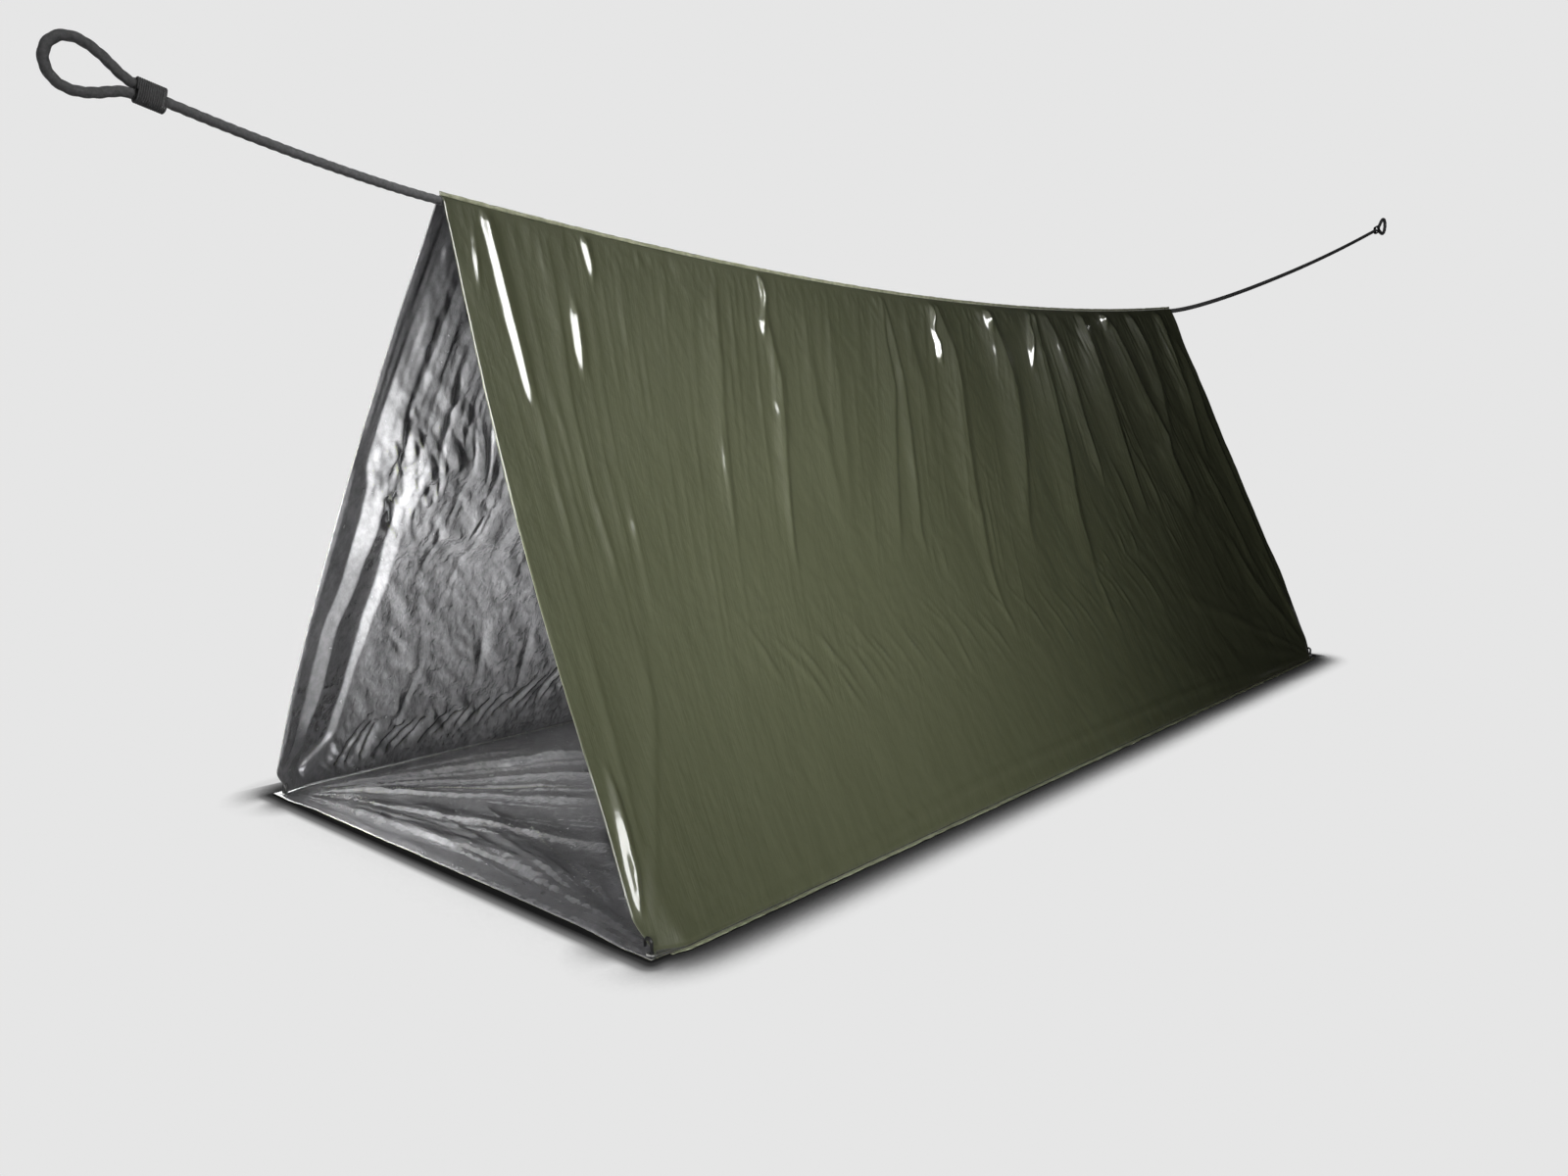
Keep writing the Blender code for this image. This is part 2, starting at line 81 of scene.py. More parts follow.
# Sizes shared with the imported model
HALF_BASE = 1.20
HALF_WIDTH = 0.445
RIDGE_INSET = 0.044
RIDGE_SAG = 0.054
BASE_BOW = 0.003
CORD_DIAMETER = 0.012
LINE_CLEARANCE = 0.0005
TOUCH = 0.0003
FILM = 0.0002
RIDGE_SEAM_HEIGHT = 0.005
BASE_SEAM_WIDTH = 0.008
SEAM_TAPER = 0.03
SEAM_CELLS = 900
CORNER_LIFT = 0.0018
CORNER_CELL = 0.024
CORNER_RAMP = 0.030
EYELET_INSET = 0.012
HOLE_RADIUS = 0.0043
SEIZING_LENGTH = 0.034
SEIZING_WRAP = 0.0022
EYE_RADIUS = 0.0265
EYE_LENGTH = 0.062
ROPE_STEP = 0.004

HALF_RIDGE = HALF_BASE - RIDGE_INSET
CORD_RADIUS = CORD_DIAMETER / 2
ARCH_RADIUS = CORD_RADIUS + LINE_CLEARANCE + FILM / 2
STRAIGHT_REACH = HALF_BASE - CORNER_CELL - CORNER_RAMP
CORNERS = {"front_right": (1, -1), "front_left": (-1, -1), "rear_right": (1, 1), "rear_left": (-1, 1)}

# The line's free stretches, outward and upward from the ends of the ridge
FRONT_ROUTE = (
    (0, 0), (.025, .0026), (.05, .0055), (.075, .0088), (.1, .0124), (.125, .0163), (.15, .0204),
    (.175, .0248), (.2, .0293), (.225, .0341), (.25, .0391), (.275, .0443), (.3, .0497), (.323, .0549),
    (.345, .06),
)
REAR_ROUTE = (
    (0, 0), (.05, .0056), (.11, .0139), (.18, .0251), (.26, .0393), (.36, .0583), (.47, .0803),
    (.59, .1056), (.72, .1341), (.86, .1656), (1.0, .1981), (1.14, .2316), (1.28, .2661), (1.42, .3016),
    (1.56, .3381), (1.7, .3756), (1.84, .4136),
)

# The studio
BACKGROUND = 0.791        # linear grey of the photograph's background
WORLD_LIGHT = 0.07
WORLD_REAR = 0.004        # share of it that is left behind the tent
GROUND_REACH = 30.0
GROUND_LEVEL = -0.0006
SHADOW_REACH = 0.1        # the painted shadow darkens the floor this near to what stands on it
SHADOW_START = 0.7        # unhidden share at which it is darkest
FAINT_SHADOW = 0.985      # least unhidden share where the painted shadow is faint
EDGE_SHADOW = 0.032       # width of the painted shadow round the floor sheet
EDGE_SHARE = 0.8          # unhidden share beside the sheet
# greys of the painted shadow, from its darkest up to the background
SHADOW_GREYS = (0.01, 0.015, 0.04, 0.2, BACKGROUND)

# Plain finishes: the darkest and lightest of their specks, the noise below which they are darkest,
# roughness, scale and detail of the specks, strength and depth of their relief, and metallic share
FINISHES = {
    "grey_rope": (((0.055, 0.055, 0.057), (0.105, 0.105, 0.108)), 0.3, 0.85, (300,) * 3, 4, 0.5, 0.0006, 0),
    "black_twine": (((0.012, 0.012, 0.013), (0.035, 0.035, 0.037)), 0.3, 0.85, (300,) * 3, 4, 0.5, 0.0006, 0),
    # the seams' pale colour, in part a painted highlight along the film's edges
    "seam_colour_and_edge_highlight": (((0.3, 0.31, 0.19), (0.55, 0.56, 0.4)), 0.3, 0.4, (40, 90, 40), 4, 0.3, 0.001, 0),
    "plated_steel": (((0.45, 0.45, 0.44), (0.68, 0.68, 0.66)), 0.35, (0.2, 0.4), (250, 250, 120), 5, 0.15,
                     0.0003, 1),
    "black_steel": ((0.006, 0.02), 0.35, (0.3, 0.5), (250, 250, 120), 5, 0.15, 0.0003, 0.4),
}

# The drawn film
DRAWN_FILM = 0.0004       # thickness
FILM_STEP = 0.0029        # size of the walls' cells along the ridge
FOIL_STEP = 0.0022        # the same where the left-hand wall's silver side is in sight
FOIL_REAR_STEP = 1.4 * FILM_STEP
FOIL_END = -0.5           # rearmost place where it is in sight
OLIVE_ROWS = 150
FOIL_ROWS = 200
FLOOR_STEP = 0.0055
FLOOR_FINE_STEP = 0.0035  # size of the floor's cells near the entrance
FLOOR_LIP = 0.0045        # the floor's two ends stand this far off the ground
ARCH_STEPS = 7
FOOT_GAP = 0.0015
FOOT_END = HALF_BASE - 0.014  # the walls' feet end here along the ridge
DRAWN_IN = 0.012          # their corners are drawn in by this much towards the eyelets
FLARES = {1: 0.014, -1: 0.023}  # above them, each wall's ends reach out by this much
END_BULGE = 0.008         # the entrance edges bow outward by this much
# How far each wall stands off a plane halfway up: at the entrance, in the middle and at the far end
RIGHT_BELLY = (-0.017, -0.02, -0.006)
LEFT_BELLY = (0.01, -0.014, -0.008)
# How much the folds lean towards the entrance on their way down, by place along the ridge
LEANS = ((-1.1, 0), (-0.8, 0.2), (-0.2, 0.4), (0.3, 0.33), (0.5, 0.06), (0.8, -0.14), (1.1, 0))

# Folds of the right-hand wall. Each is a crest line from the ridge down: height share up the
# slope, y, how far the crest stands off, and the widths of its front and back flanks in millimetres.
RIGHT_FOLDS = (
    ((.98, -.2, 2.5, 50, 12), (.9, -.228, 5, 60, 14), (.8, -.25, 5, 60, 14), (.6, -.345, 5, 60, 14),
     (.5, -.392, 3, 60, 14), (.45, -.415, 0, 50, 14)),
    ((.98, -.19, 2.5, 26, 14), (.9, -.2, 4.5, 28, 16), (.8, -.215, 4.5, 28, 16), (.6, -.284, 4.5, 28, 16),
     (.5, -.326, 3, 26, 14), (.43, -.333, 0, 20, 12)),
    ((.98, -.12, 0, 40, 22), (.9, -.137, 3, 50, 25), (.8, -.147, 3, 50, 25), (.6, -.21, 0, 50, 25)),
    ((1.0, -.01, 8, 60, 30), (.88, .000, 9, 80, 34), (.8, -.018, 9, 85, 34), (.7, -.055, 9, 80, 34),
     (.6, -.09, 8, 70, 30), (.5, -.118, 5, 40, 22), (.39, -.153, 3, 20, 18), (.34, -.155, 3, 18, 18),
     (.26, -.148, 0, 16, 16)),
    ((1.0, .196, 9, 60, 40), (.9, .202, 13, 80, 55), (.8, .198, 13, 90, 55), (.7, .16, 12, 85, 50),
     (.6, .112, 9, 80, 32), (.57, .098, 8, 70, 26), (.5, .056, 5, 50, 30), (.43, .042, 0, 40, 26)),
    ((1.0, .4, 10, 70, 30), (.9, .375, 13, 90, 34), (.8, .36, 13, 100, 34), (.7, .333, 13, 105, 34),
     (.6, .3, 12, 95, 40), (.5, .266, 9, 70, 38), (.42, .256, 6, 60, 28), (.35, .24, 0, 40, 20)),
    ((.38, .242, 0, 18, 18), (.33, .236, 3, 20, 18), (.26, .234, 3, 20, 18), (.2, .242, 0, 18, 18)),
    ((1.0, .462, 5, 36, 34), (.95, .468, 8, 46, 38), (.9, .477, 10, 60, 42), (.8, .467, 10, 66, 38),
     (.7, .453, 8, 46, 28), (.6, .447, 6, 30, 16), (.55, .44, 0, 20, 12)),
    ((1.0, .644, 6, 24, 50), (.95, .632, 11, 44, 60), (.9, .627, 14, 60, 74), (.8, .618, 14, 100, 66),
     (.7, .608, 12, 105, 42), (.6, .601, 9, 70, 26), (.52, .594, 5, 46, 20), (.46, .59, 0, 40, 18)),
    ((.62, .52, 0, 26, 18), (.56, .52, 4, 30, 20), (.49, .522, 4, 28, 20), (.44, .524, 0, 24, 18)),
    ((.64, .652, 0, 26, 16), (.58, .66, 4, 30, 18), (.52, .67, 4, 30, 18), (.47, .676, 0, 24, 16)),
    ((1.0, .764, 7, 26, 30), (.95, .782, 12, 54, 40), (.9, .793, 13, 76, 46), (.8, .804, 14, 98, 48),
     (.7, .828, 13, 100, 44), (.65, .845, 12, 80, 34), (.6, .82, 12, 70, 46), (.5, .836, 9, 90, 40),
     (.44, .832, 0, 70, 40)),
    ((1.0, .91, 7, 22, 34), (.95, .922, 9, 36, 44), (.9, .932, 10, 50, 52), (.8, .93, 9, 48, 52),
     (.7, .9, 4, 40, 40), (.62, .88, 0, 40, 40)),
    ((1.0, 1.09, 8, 26, 36), (.95, 1.087, 11, 44, 38), (.85, 1.077, 12, 62, 34), (.75, 1.063, 11, 54, 34),
     (.65, 1.05, 7, 44, 28), (.57, 1.044, 0, 36, 24)),
    ((.92, 1.15, 0, 30, 18), (.85, 1.16, 6, 46, 20), (.7, 1.14, 6, 50, 30), (.5, 1.146, 6, 46, 26),
     (.32, 1.152, 6, 44, 24), (.15, 1.158, 3, 30, 20), (.08, 1.165, 0, 20, 14)),
    ((.6, .998, 0, 26, 20), (.54, 1.000, 5, 30, 22), (.42, 1.026, 5, 30, 22), (.3, 1.045, 3, 30, 24),
     (.2, 1.08, 0, 26, 20)),
    ((.4, .962, 0, 30, 24), (.3, .982, 5, 40, 34), (.24, .996, 7, 44, 48), (.18, 1.03, 7, 50, 50),
     (.1, 1.098, 5, 40, 40), (.03, 1.155, 0, 16, 16)),
    ((.99, -.668, 0, 30, 12), (.9, -.703, 3, 40, 12), (.8, -.727, 3, 40, 12), (.7, -.757, 3, 40, 12),
     (.6, -.785, 3, 40, 12), (.5, -.812, 0, 36, 12)),
    ((.99, -.55, 3, 26, 16), (.9, -.575, 4, 30, 18), (.8, -.582, 5, 34, 20), (.7, -.614, 5, 36, 18),
     (.6, -.65, 5, 34, 14), (.5, -.685, 3, 20, 12), (.45, -.697, 0, 16, 10)),
    ((.96, -.455, 0, 30, 20), (.8, -.49, 2.5, 40, 24), (.6, -.52, 2.5, 40, 24), (.5, -.55, 0, 36, 20)),
    ((.96, -.38, 0, 30, 20), (.8, -.42, 2.5, 40, 24), (.62, -.48, 2.5, 40, 24), (.5, -.53, 0, 36, 20)),
    ((.99, -1.028, 1, 26, 9), (.86, -1.04, 1.6, 30, 9), (.72, -1.058, 1.8, 30, 9), (.6, -1.062, 1.8, 18, 8),
     (.5, -1.06, 1.8, 12, 8), (.45, -1.066, 0, 10, 8)),
    ((.42, -1.046, 0, 20, 10), (.34, -1.06, 1.4, 24, 10), (.27, -1.078, 1.8, 26, 12),
     (.2, -1.108, 1.8, 28, 14), (.1, -1.15, 1.5, 20, 12), (.03, -1.178, 0, 8, 8)),
    ((.48, -1.14, 0, 16, 8), (.32, -1.146, 1.4, 18, 8), (.2, -1.152, 1.4, 18, 8), (.08, -1.17, 0, 10, 8)),
    # narrow steep ones, which catch the light
    ((1.0, -1.133, 4.6, 12, 22), (.9, -1.13, 5.6, 14, 26), (.8, -1.127, 5.2, 13, 26),
     (.74, -1.127, 3.6, 9, 20), (.71, -1.127, 0, 6, 16)),
    ((.97, -1.158, 0, 6, 8), (.92, -1.166, 3.4, 6, 10), (.87, -1.171, 0, 5, 8)),
    ((.89, -1.005, 0, 10, 12), (.86, -1.01, 5.2, 13, 22), (.8, -1.018, 4.4, 11, 20), (.76, -1.022, 0, 7, 14)),
    ((1.0, -.955, 4.8, 12, 20), (.95, -.955, 4.8, 12, 22), (.92, -.957, 0, 9, 14)),
    ((1.0, -.556, 4, 9, 10), (.95, -.562, 5, 9, 12), (.92, -.576, 2.5, 8, 10), (.9, -.586, 4.5, 9, 12),
     (.87, -.593, 0, 7, 10)),
    ((.99, -.024, 2, 9, 10), (.96, -.03, 6, 12, 14), (.93, -.046, 2.5, 10, 12), (.9, -.044, 8, 16, 14),
     (.87, -.052, 7, 14, 12), (.85, -.055, 0, 10, 10)),
    ((.99, .186, 3, 14, 16), (.96, .186, 9, 22, 22), (.93, .18, 0, 16, 16)),
    ((.99, .38, 4, 10, 12), (.96, .362, 5, 12, 12), (.93, .352, 9, 18, 16), (.9, .336, 8, 18, 16),
     (.86, .318, 3, 12, 12), (.84, .308, 0, 10, 10)),
    ((1.0, .758, 5, 14, 16), (.975, .756, 8, 16, 18), (.95, .756, 0, 12, 12)),
    ((.24, -1.172, 0, 5, 5), (.2, -1.173, 4.6, 10, 8), (.16, -1.175, 6.6, 15, 10), (.1, -1.179, 7.0, 16, 10),
     (.07, -1.183, 4.6, 10, 8), (.04, -1.187, 0, 6, 5)),
)
# Small wrinkles of the right-hand wall, each a short crest line of the same kind
RIGHT_TICKS = (
    ((.47, -.275), (.42, -.29)), ((.48, -.305), (.44, -.318)), ((.3, -.345), (.22, -.332)),
    ((.57, .082), (.52, .06)), ((.41, .305), (.37, .322)), ((.38, .272), (.36, .28)),
    ((.62, .418), (.57, .428)), ((.44, .412), (.38, .4)), ((.52, .71), (.48, .722)),
    ((.44, .47), (.38, .462)), ((.44, .655), (.36, .672)), ((.36, -.7), (.28, -.672)),
    ((.34, -.58), (.26, -.535)), ((.36, -.5), (.24, -.445)), ((.33, -.425), (.22, -.38)),
    ((.33, -.765), (.22, -.725)), ((.3, -.69), (.21, -.655)), ((.33, -.64), (.23, -.6)),
)
# The left-hand wall near the entrance, from top to bottom: height share, then places along the ridge
# and how far the film stands out there in millimetres. It rises gently, which shows dark inside, and
# falls steeply, which shows bright.
LEFT_FRONT = (
    (1.00, (-1.2, -1.19, -1.17, -1.15, -1.13, -1.11, -1.02), (0, 0, 0, 0, 0, 0, 0)),
    (.8, (-1.2, -1.19, -1.172, -1.145, -1.125, -1.105, -1.000), (0, 2.2, 5, 0, 3, -1, 0)),
    (.68, (-1.2, -1.19, -1.175, -1.146, -1.136, -1.129, -.9), (0, 2.2, 6, -6, -4, -7, -3)),
    (.61, (-1.2, -1.195, -1.174, -1.138, -1.125, -1.085, -.9), (0, 1.2, 7, -8, -4, -22, -10)),
    (.55, (-1.2, -1.192, -1.16, -1.131, -1.114, -1.082, -.94), (0, 0, 9, -3, 1, -14, -9)),
    (.5, (-1.2, -1.192, -1.156, -1.129, -1.11, -1.089, -.94), (0, 0, 10, -3, 2, -9, -6)),
    (.4, (-1.2, -1.193, -1.157, -1.132, -1.095, -1.079, -.94), (0, 0, 10, 6, 16, 6, 10)),
    (.3, (-1.2, -1.195, -1.171, -1.148, -1.1, -1.088, -.94), (0, 0, 6, 3, 16, 7, 10)),
    (.2, (-1.2, -1.193, -1.171, -1.147, -1.104, -1.094, -.94), (0, 0, 6, 2, 14, 9, 3)),
    (.1, (-1.2, -1.193, -1.173, -1.155, -1.109, -1.098, -.94), (0, 0, 5, 3, 15, 9, 3)),
    (.03, (-1.2, -1.198, -1.189, -1.182, -1.159, -1.151, -.94), (0, 0, 1, 1, 4, 1, 0)),
    (.00, (-1.2, -1.199, -1.192, -1.188, -1.172, -1.165, -.94), (0, 0, 0, 0, 0, 0, 0)),
)
# The crumpled band along its foot: places along the ridge, the band's lower and upper edge there
FOOT_BAND = ((-1.162, -1.11, -1.04, -.93, -.82, -.65), (.01, .015, .026, .042, .058, .088),
             (.05, .102, .09, .088, .106, .168))
# Its most crumpled patches: how much, place and height share of the middle, and reach in both directions
TORN = ((1.6, -1.125, .58, .13, .18), (.8, -1.0, .66, .07, .1), (.8, -1.1, .06, .09, .07),
        (.5, -.85, .09, .32, .05))
# Its smaller folds. Those further back are the right-hand wall's.
LEFT_FOLDS = (
    ((1.0, -1.105, 2, 9, 14), (.85, -1.085, 2, 10, 16), (.72, -1.068, 2, 10, 16), (.64, -1.06, 0, 12, 12)),
    ((1.0, -1.07, 0, 12, 16), (.85, -1.04, 2, 14, 18), (.72, -1.000, 2, 14, 18), (.6, -.975, 0, 14, 12)),
    ((.66, -.955, 0, 12, 8), (.56, -.948, 1.5, 16, 9), (.45, -.946, 0, 12, 8)),
    ((.515, -.946, 0, 5, 5), (.5, -.948, 4.4, 9, 6), (.48, -.952, 4.4, 9, 6), (.465, -.955, 0, 5, 5)),
    ((.7, -.985, 0, 6, 6), (.66, -.982, 5, 10, 6), (.61, -.975, 4, 9, 6), (.57, -.965, 0, 6, 6)),
    ((.66, -1.01, 0, 5, 5), (.64, -1.008, 4, 8, 5), (.6, -1.002, 0, 5, 5)),
    ((.3, -.99, 0, 10, 10), (.22, -.97, 1.5, 16, 12), (.1, -.985, 3, 16, 10), (.05, -.985, 0, 10, 8)),
    ((.3, -.86, 0, 16, 12), (.22, -.85, 4, 20, 14), (.13, -.84, 0, 14, 12)),
    ((.28, -.76, 0, 16, 12), (.2, -.75, 5, 20, 14), (.11, -.745, 0, 14, 12)),
    ((.8, -.88, 0, 30, 16), (.6, -.86, 5, 40, 20), (.4, -.9, 0, 30, 16)),
    ((.95, -.82, 4, 30, 16), (.6, -.78, 7, 50, 24), (.35, -.8, 0, 40, 20)),
)


def ease(x):
    """Smooth step from 0 to 1, for numbers and arrays."""
    x = np.clip(x, 0.0, 1.0)
    return x * x * (3 - 2 * x)


def lattice(x, y, seed):
    """Places in the cells of a random table, and its values at the cells' four corners."""
    table = np.random.default_rng(seed).uniform(-1, 1, (128, 128))
    column, row = np.floor(x).astype(int), np.floor(y).astype(int)
    fx, fy = x - column, y - row
    column, row, after, above = column % 128, row % 128, (column + 1) % 128, (row + 1) % 128
    return fx, fy, table[row, column], table[row, after], table[above, column], table[above, after]


def noise(x, y, seed):
    """Smooth random heights from -1 to 1 over a plane, the same at each run."""
    x, y = np.broadcast_arrays(np.asarray(x, float) + 64, np.asarray(y, float) + 64)
    fx, fy, near, side, up, far = lattice(x, y, seed)
    fx, fy = ease(fx), ease(fy)
    low, high = near * (1 - fx) + side * fx, up * (1 - fx) + far * fx
    return low * (1 - fy) + high * fy


def facets(x, y, seed):
    """Crumpled foil: flat facets between sharp creases, heights from -1 to 1."""
    x, y = np.broadcast_arrays(np.asarray(x, float), np.asarray(y, float))
    bent_x = x + 0.45 * noise(x * 0.8, y * 0.8, seed + 50)
    bent_y = y + 0.45 * noise(x * 0.8, y * 0.8, seed + 51)
    u, w = bent_x + bent_y / math.sqrt(3) + 64, 2 * bent_y / math.sqrt(3) + 64
    fu, fw, near, side, up, far = lattice(u, w, seed)
    low = near + fu * (side - near) + fw * (up - near)
    high = far + (1 - fu) * (up - far) + (1 - fw) * (side - far)
    return np.where(fu + fw < 1, low, high)


def line_height(y):
    """Height of the ridge line's centre inside the tent."""
    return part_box("front_cord")[0].z + CORD_RADIUS - RIDGE_SAG * (1 - (y / HALF_RIDGE) ** 2)


def floor_edge(y):
    """Half the floor's width at y."""
    share = (HALF_BASE - np.abs(y)) / (HALF_BASE - STRAIGHT_REACH)
    return HALF_WIDTH + BASE_BOW * np.minimum(1.0, share)


def flank(share):
    """Rises from 0 to 1: a soft foot, then straight up to a sharp crest."""
    share = np.clip(share, 0.0, 1.0)
    foot = 0.45
    return np.where(share < foot, share ** 2 / (2 * foot), share - foot / 2) / (1 - foot / 2)


def crests(y, up, folds):
    """Sum of folds along crest lines over places y along the ridge and height shares up."""
    total = 0.0
    for fold in folds:
        level, place, height, front, back = np.array(fold[::-1]).T
        off = y - np.interp(up, level, place)
        front = np.interp(up, level, front) / 1000
        back = np.interp(up, level, back) / 1000
        end = 0 if fold[0][0] > 0.999 else None
        shape = np.where(off < 0, flank(1 + off / front), flank(1 - off / back))
        total += np.interp(up, level, height, left=0, right=end) / 1000 * shape
    return total


def short_folds(lines, height, front, back):
    """Folds along short crest lines, highest in the middle."""
    folds = []
    for (top, y_top), (low, y_low) in lines:
        middle = ((top + low) / 2, (y_top + y_low) / 2, height, front, back)
        folds.append(((top, y_top, 0, front, back), middle, (low, y_low, 0, front, back)))
    return folds


def streaks(seed, count, height, width=1.0):
    """Many small creases that hang from the ridge."""
    rng = np.random.default_rng(seed)
    folds = []
    for _ in range(count):
        start = rng.uniform(-1.12, 1.12)
        lean = np.interp(start, *zip(*LEANS))
        top = rng.uniform(0.55, 1.0) if rng.random() < 0.6 else 1.0
        length = rng.uniform(0.1, 0.4)
        size = rng.uniform(0.3, 1.0)
        line = []
        for part, tall in ((0, 0), (0.4, 1), (1, 0)):
            down = 1 - top + length * part
            line.append((1 - down, start - lean * down, height * size * tall, width * (7 + 9 * size),
                         width * (5 + 6 * size)))
        folds.append(line)
    return folds


def tucks(seed, count):
    """Short wrinkles in the lower half that lean against the other folds."""
    rng = np.random.default_rng(seed)
    folds = []
    for i in range(count):
        start = -0.86 + 1.35 * i / count + rng.uniform(-0.02, 0.02)
        top = rng.uniform(0.34, 0.42)
        run, drop = rng.uniform(0.05, 0.09), rng.uniform(0.1, 0.17)
        high = rng.uniform(1.3, 2.6)
        folds.append(((top, start, 0, 12, 8), (top - drop / 2, start + run / 2 + 0.006, high, 14, 9),
                      (top - drop, start + run, 0, 12, 8)))
    return folds


def pleats(seed):
    """Crumples in a band along the foot. Their wide flanks face the entrance and hide the narrow ones."""
    rng = np.random.default_rng(seed)
    folds = []
    start = -1.10
    while start < -0.45:
        step = rng.uniform(0.013, 0.03)
        low = np.interp(start, FOOT_BAND[0], FOOT_BAND[1])
        high = np.interp(start, FOOT_BAND[0], FOOT_BAND[2])
        lean, height = rng.uniform(0.02, 0.06), rng.uniform(3.5, 7.5)
        folds.append([(low + (high - low) * part, start + lean * part, height * tall, 5, 850 * step)
                      for part, tall in ((1.15, 0), (rng.uniform(0.65, 0.85), 1), (0.2, 1), (0, 0))])
        start += step
    return folds


def fan(y, up, corner_y, rays, height):
    """Folds that spread from a lower corner. rays are (y, height share) that each one points to."""
    total = 0.0
    for far_y, far_up in rays:
        run = np.array((far_y - corner_y, far_up))
        length = np.linalg.norm(run)
        run = run / length
        along = (y - corner_y) * run[0] + up * run[1]
        off = np.abs((y - corner_y) * run[1] - up * run[0])
        width = 0.005 + 0.035 * np.clip(along / length, 0, 1)
        ends = ease(along / 0.03) * ease((length - along) / (0.5 * length))
        total += height * (1 - ease(off / width)) * ends
    return total


def right_relief(y, up):
    """How far the right-hand wall's film stands off its plane."""
    folds = short_folds(RIGHT_TICKS, 2.5, 14, 9) + streaks(5, 240, 1.2, 0.7) + tucks(8, 26)
    total = crests(y, up, list(RIGHT_FOLDS) + folds)
    total += fan(y, up, 1.18, ((1.09, 0.45), (0.45, 0.31), (0.75, 0.1), (0.6, 0.04)), 0.003)
    total += fan(y, up, -1.18, ((-0.8, 0.07), (-0.95, 0.12)), 0.0015)
    band = 0.045 * ease((HALF_BASE - np.abs(y)) / 0.9)
    total += 0.0018 * np.exp(-((up - band) / 0.008) ** 2) * ease((1.16 - np.abs(y)) / 0.2)
    crease = np.exp(-np.abs(up - 0.4 - 0.006 * noise(y * 9, 0, 24)) / 0.004)
    total += 0.0007 * crease * ease((-0.35 - y) / 0.1) * ease((y + 1.08) / 0.06)
    rear = ease((y + 0.5) / 1.0)
    total += (0.0006 + 0.0008 * rear) * noise(y * 11, up * 8, 21)
    total += (0.0004 + 0.0008 * rear) * facets(y * 26 - up * 7, up * 15, 31)
    total += 0.0004 * facets(y * 60 - up * 15, up * 30, 33)
    pucker = ease((up - 0.93) / 0.05) * ease((1 - up) / 0.015)
    total += pucker * (0.0009 * noise(y * 55, up * 20, 34) + 0.0005 * noise(y * 140, up * 40, 35))
    return total


def front_profile(y, up):
    """Reads LEFT_FRONT: straight between places along the ridge and smooth from row to row."""
    total = 0.0
    rows = LEFT_FRONT[::-1]
    for low, high in zip(rows, rows[1:]):
        inside = (up >= low[0]) & ((up < high[0]) | (high[0] == 1.0))
        share = ease((up - low[0]) / (high[0] - low[0]))
        places = [a + (b - a) * share for a, b in zip(low[1], high[1])]
        heights = [(a + (b - a) * share) / 1000 for a, b in zip(low[2], high[2])]
        value = 0.0
        for k in range(len(places) - 1):
            run = np.clip((y - places[k]) / (places[k + 1] - places[k]), 0, 1)
            value += (heights[k + 1] - heights[k]) * (run if k < len(places) - 2 else ease(run))
        total += np.where(inside, value - heights[-1] * ease((y - places[-1]) / 0.45), 0)
    return total


def left_relief(y, up):
    """How far the left-hand wall's film stands off its plane, outward."""
    shared = [fold for fold in RIGHT_FOLDS if fold[0][1] > -0.45]
    folds = list(LEFT_FOLDS) + shared + streaks(15, 150, 2.2) + pleats(18)
    total = front_profile(y, up) + crests(y, up, folds)
    for level in (0.2, 0.33, 0.44, 0.75):
        total += 0.0008 * np.exp(-np.abs(up - level - 0.012 * noise(y * 6, up, 40)) / 0.004)
    # taut at the entrance, crumpled behind it
    taut = np.interp(up, (0, 0.1, 0.3, 0.42, 0.5, 0.58), (-1.15, -1.1, -1.092, -1.098, -1.135, -1.18))
    loose = 0.1 + 0.9 * ease((y - taut) / 0.025)
    rough = 0.0026 * facets(y * 17, up * 11, 43) + 0.0022 * facets(y * 36, up * 26, 44)
    rough += 0.0011 * facets(y * 85, up * 60, 45)
    total += loose * rough
    torn = 0.0
    for much, place, level, wide, tall in TORN:
        torn += much * (1 - ease(np.hypot((y - place) / wide, (up - level) / tall)))
    total += loose * torn * (0.0042 * facets(y * 50, up * 24, 46) + 0.003 * facets(y * 120, up * 60, 47))
    high = ease((up - 0.62) / 0.06) * ease((1 - up) / 0.04)
    total += high * (0.0016 * noise(y * 75, up * 5, 48) + 0.0009 * noise(y * 150, up * 9, 49))
    return total


def add_object(name, data):
    made = bpy.data.objects.new(name, data)
    bpy.context.scene.collection.objects.link(made)
    return made


def add_mesh(name, points, faces, materials, kinds=None):
    mesh = bpy.data.meshes.new(name)
    mesh.from_pydata(points, [], faces)
    for item in materials:
        mesh.materials.append(item)
    if kinds is not None:
        mesh.polygons.foreach_set("material_index", kinds)
    mesh.polygons.foreach_set("use_smooth", np.ones(len(mesh.polygons), bool))
    mesh.update()
    return add_object(name, mesh)


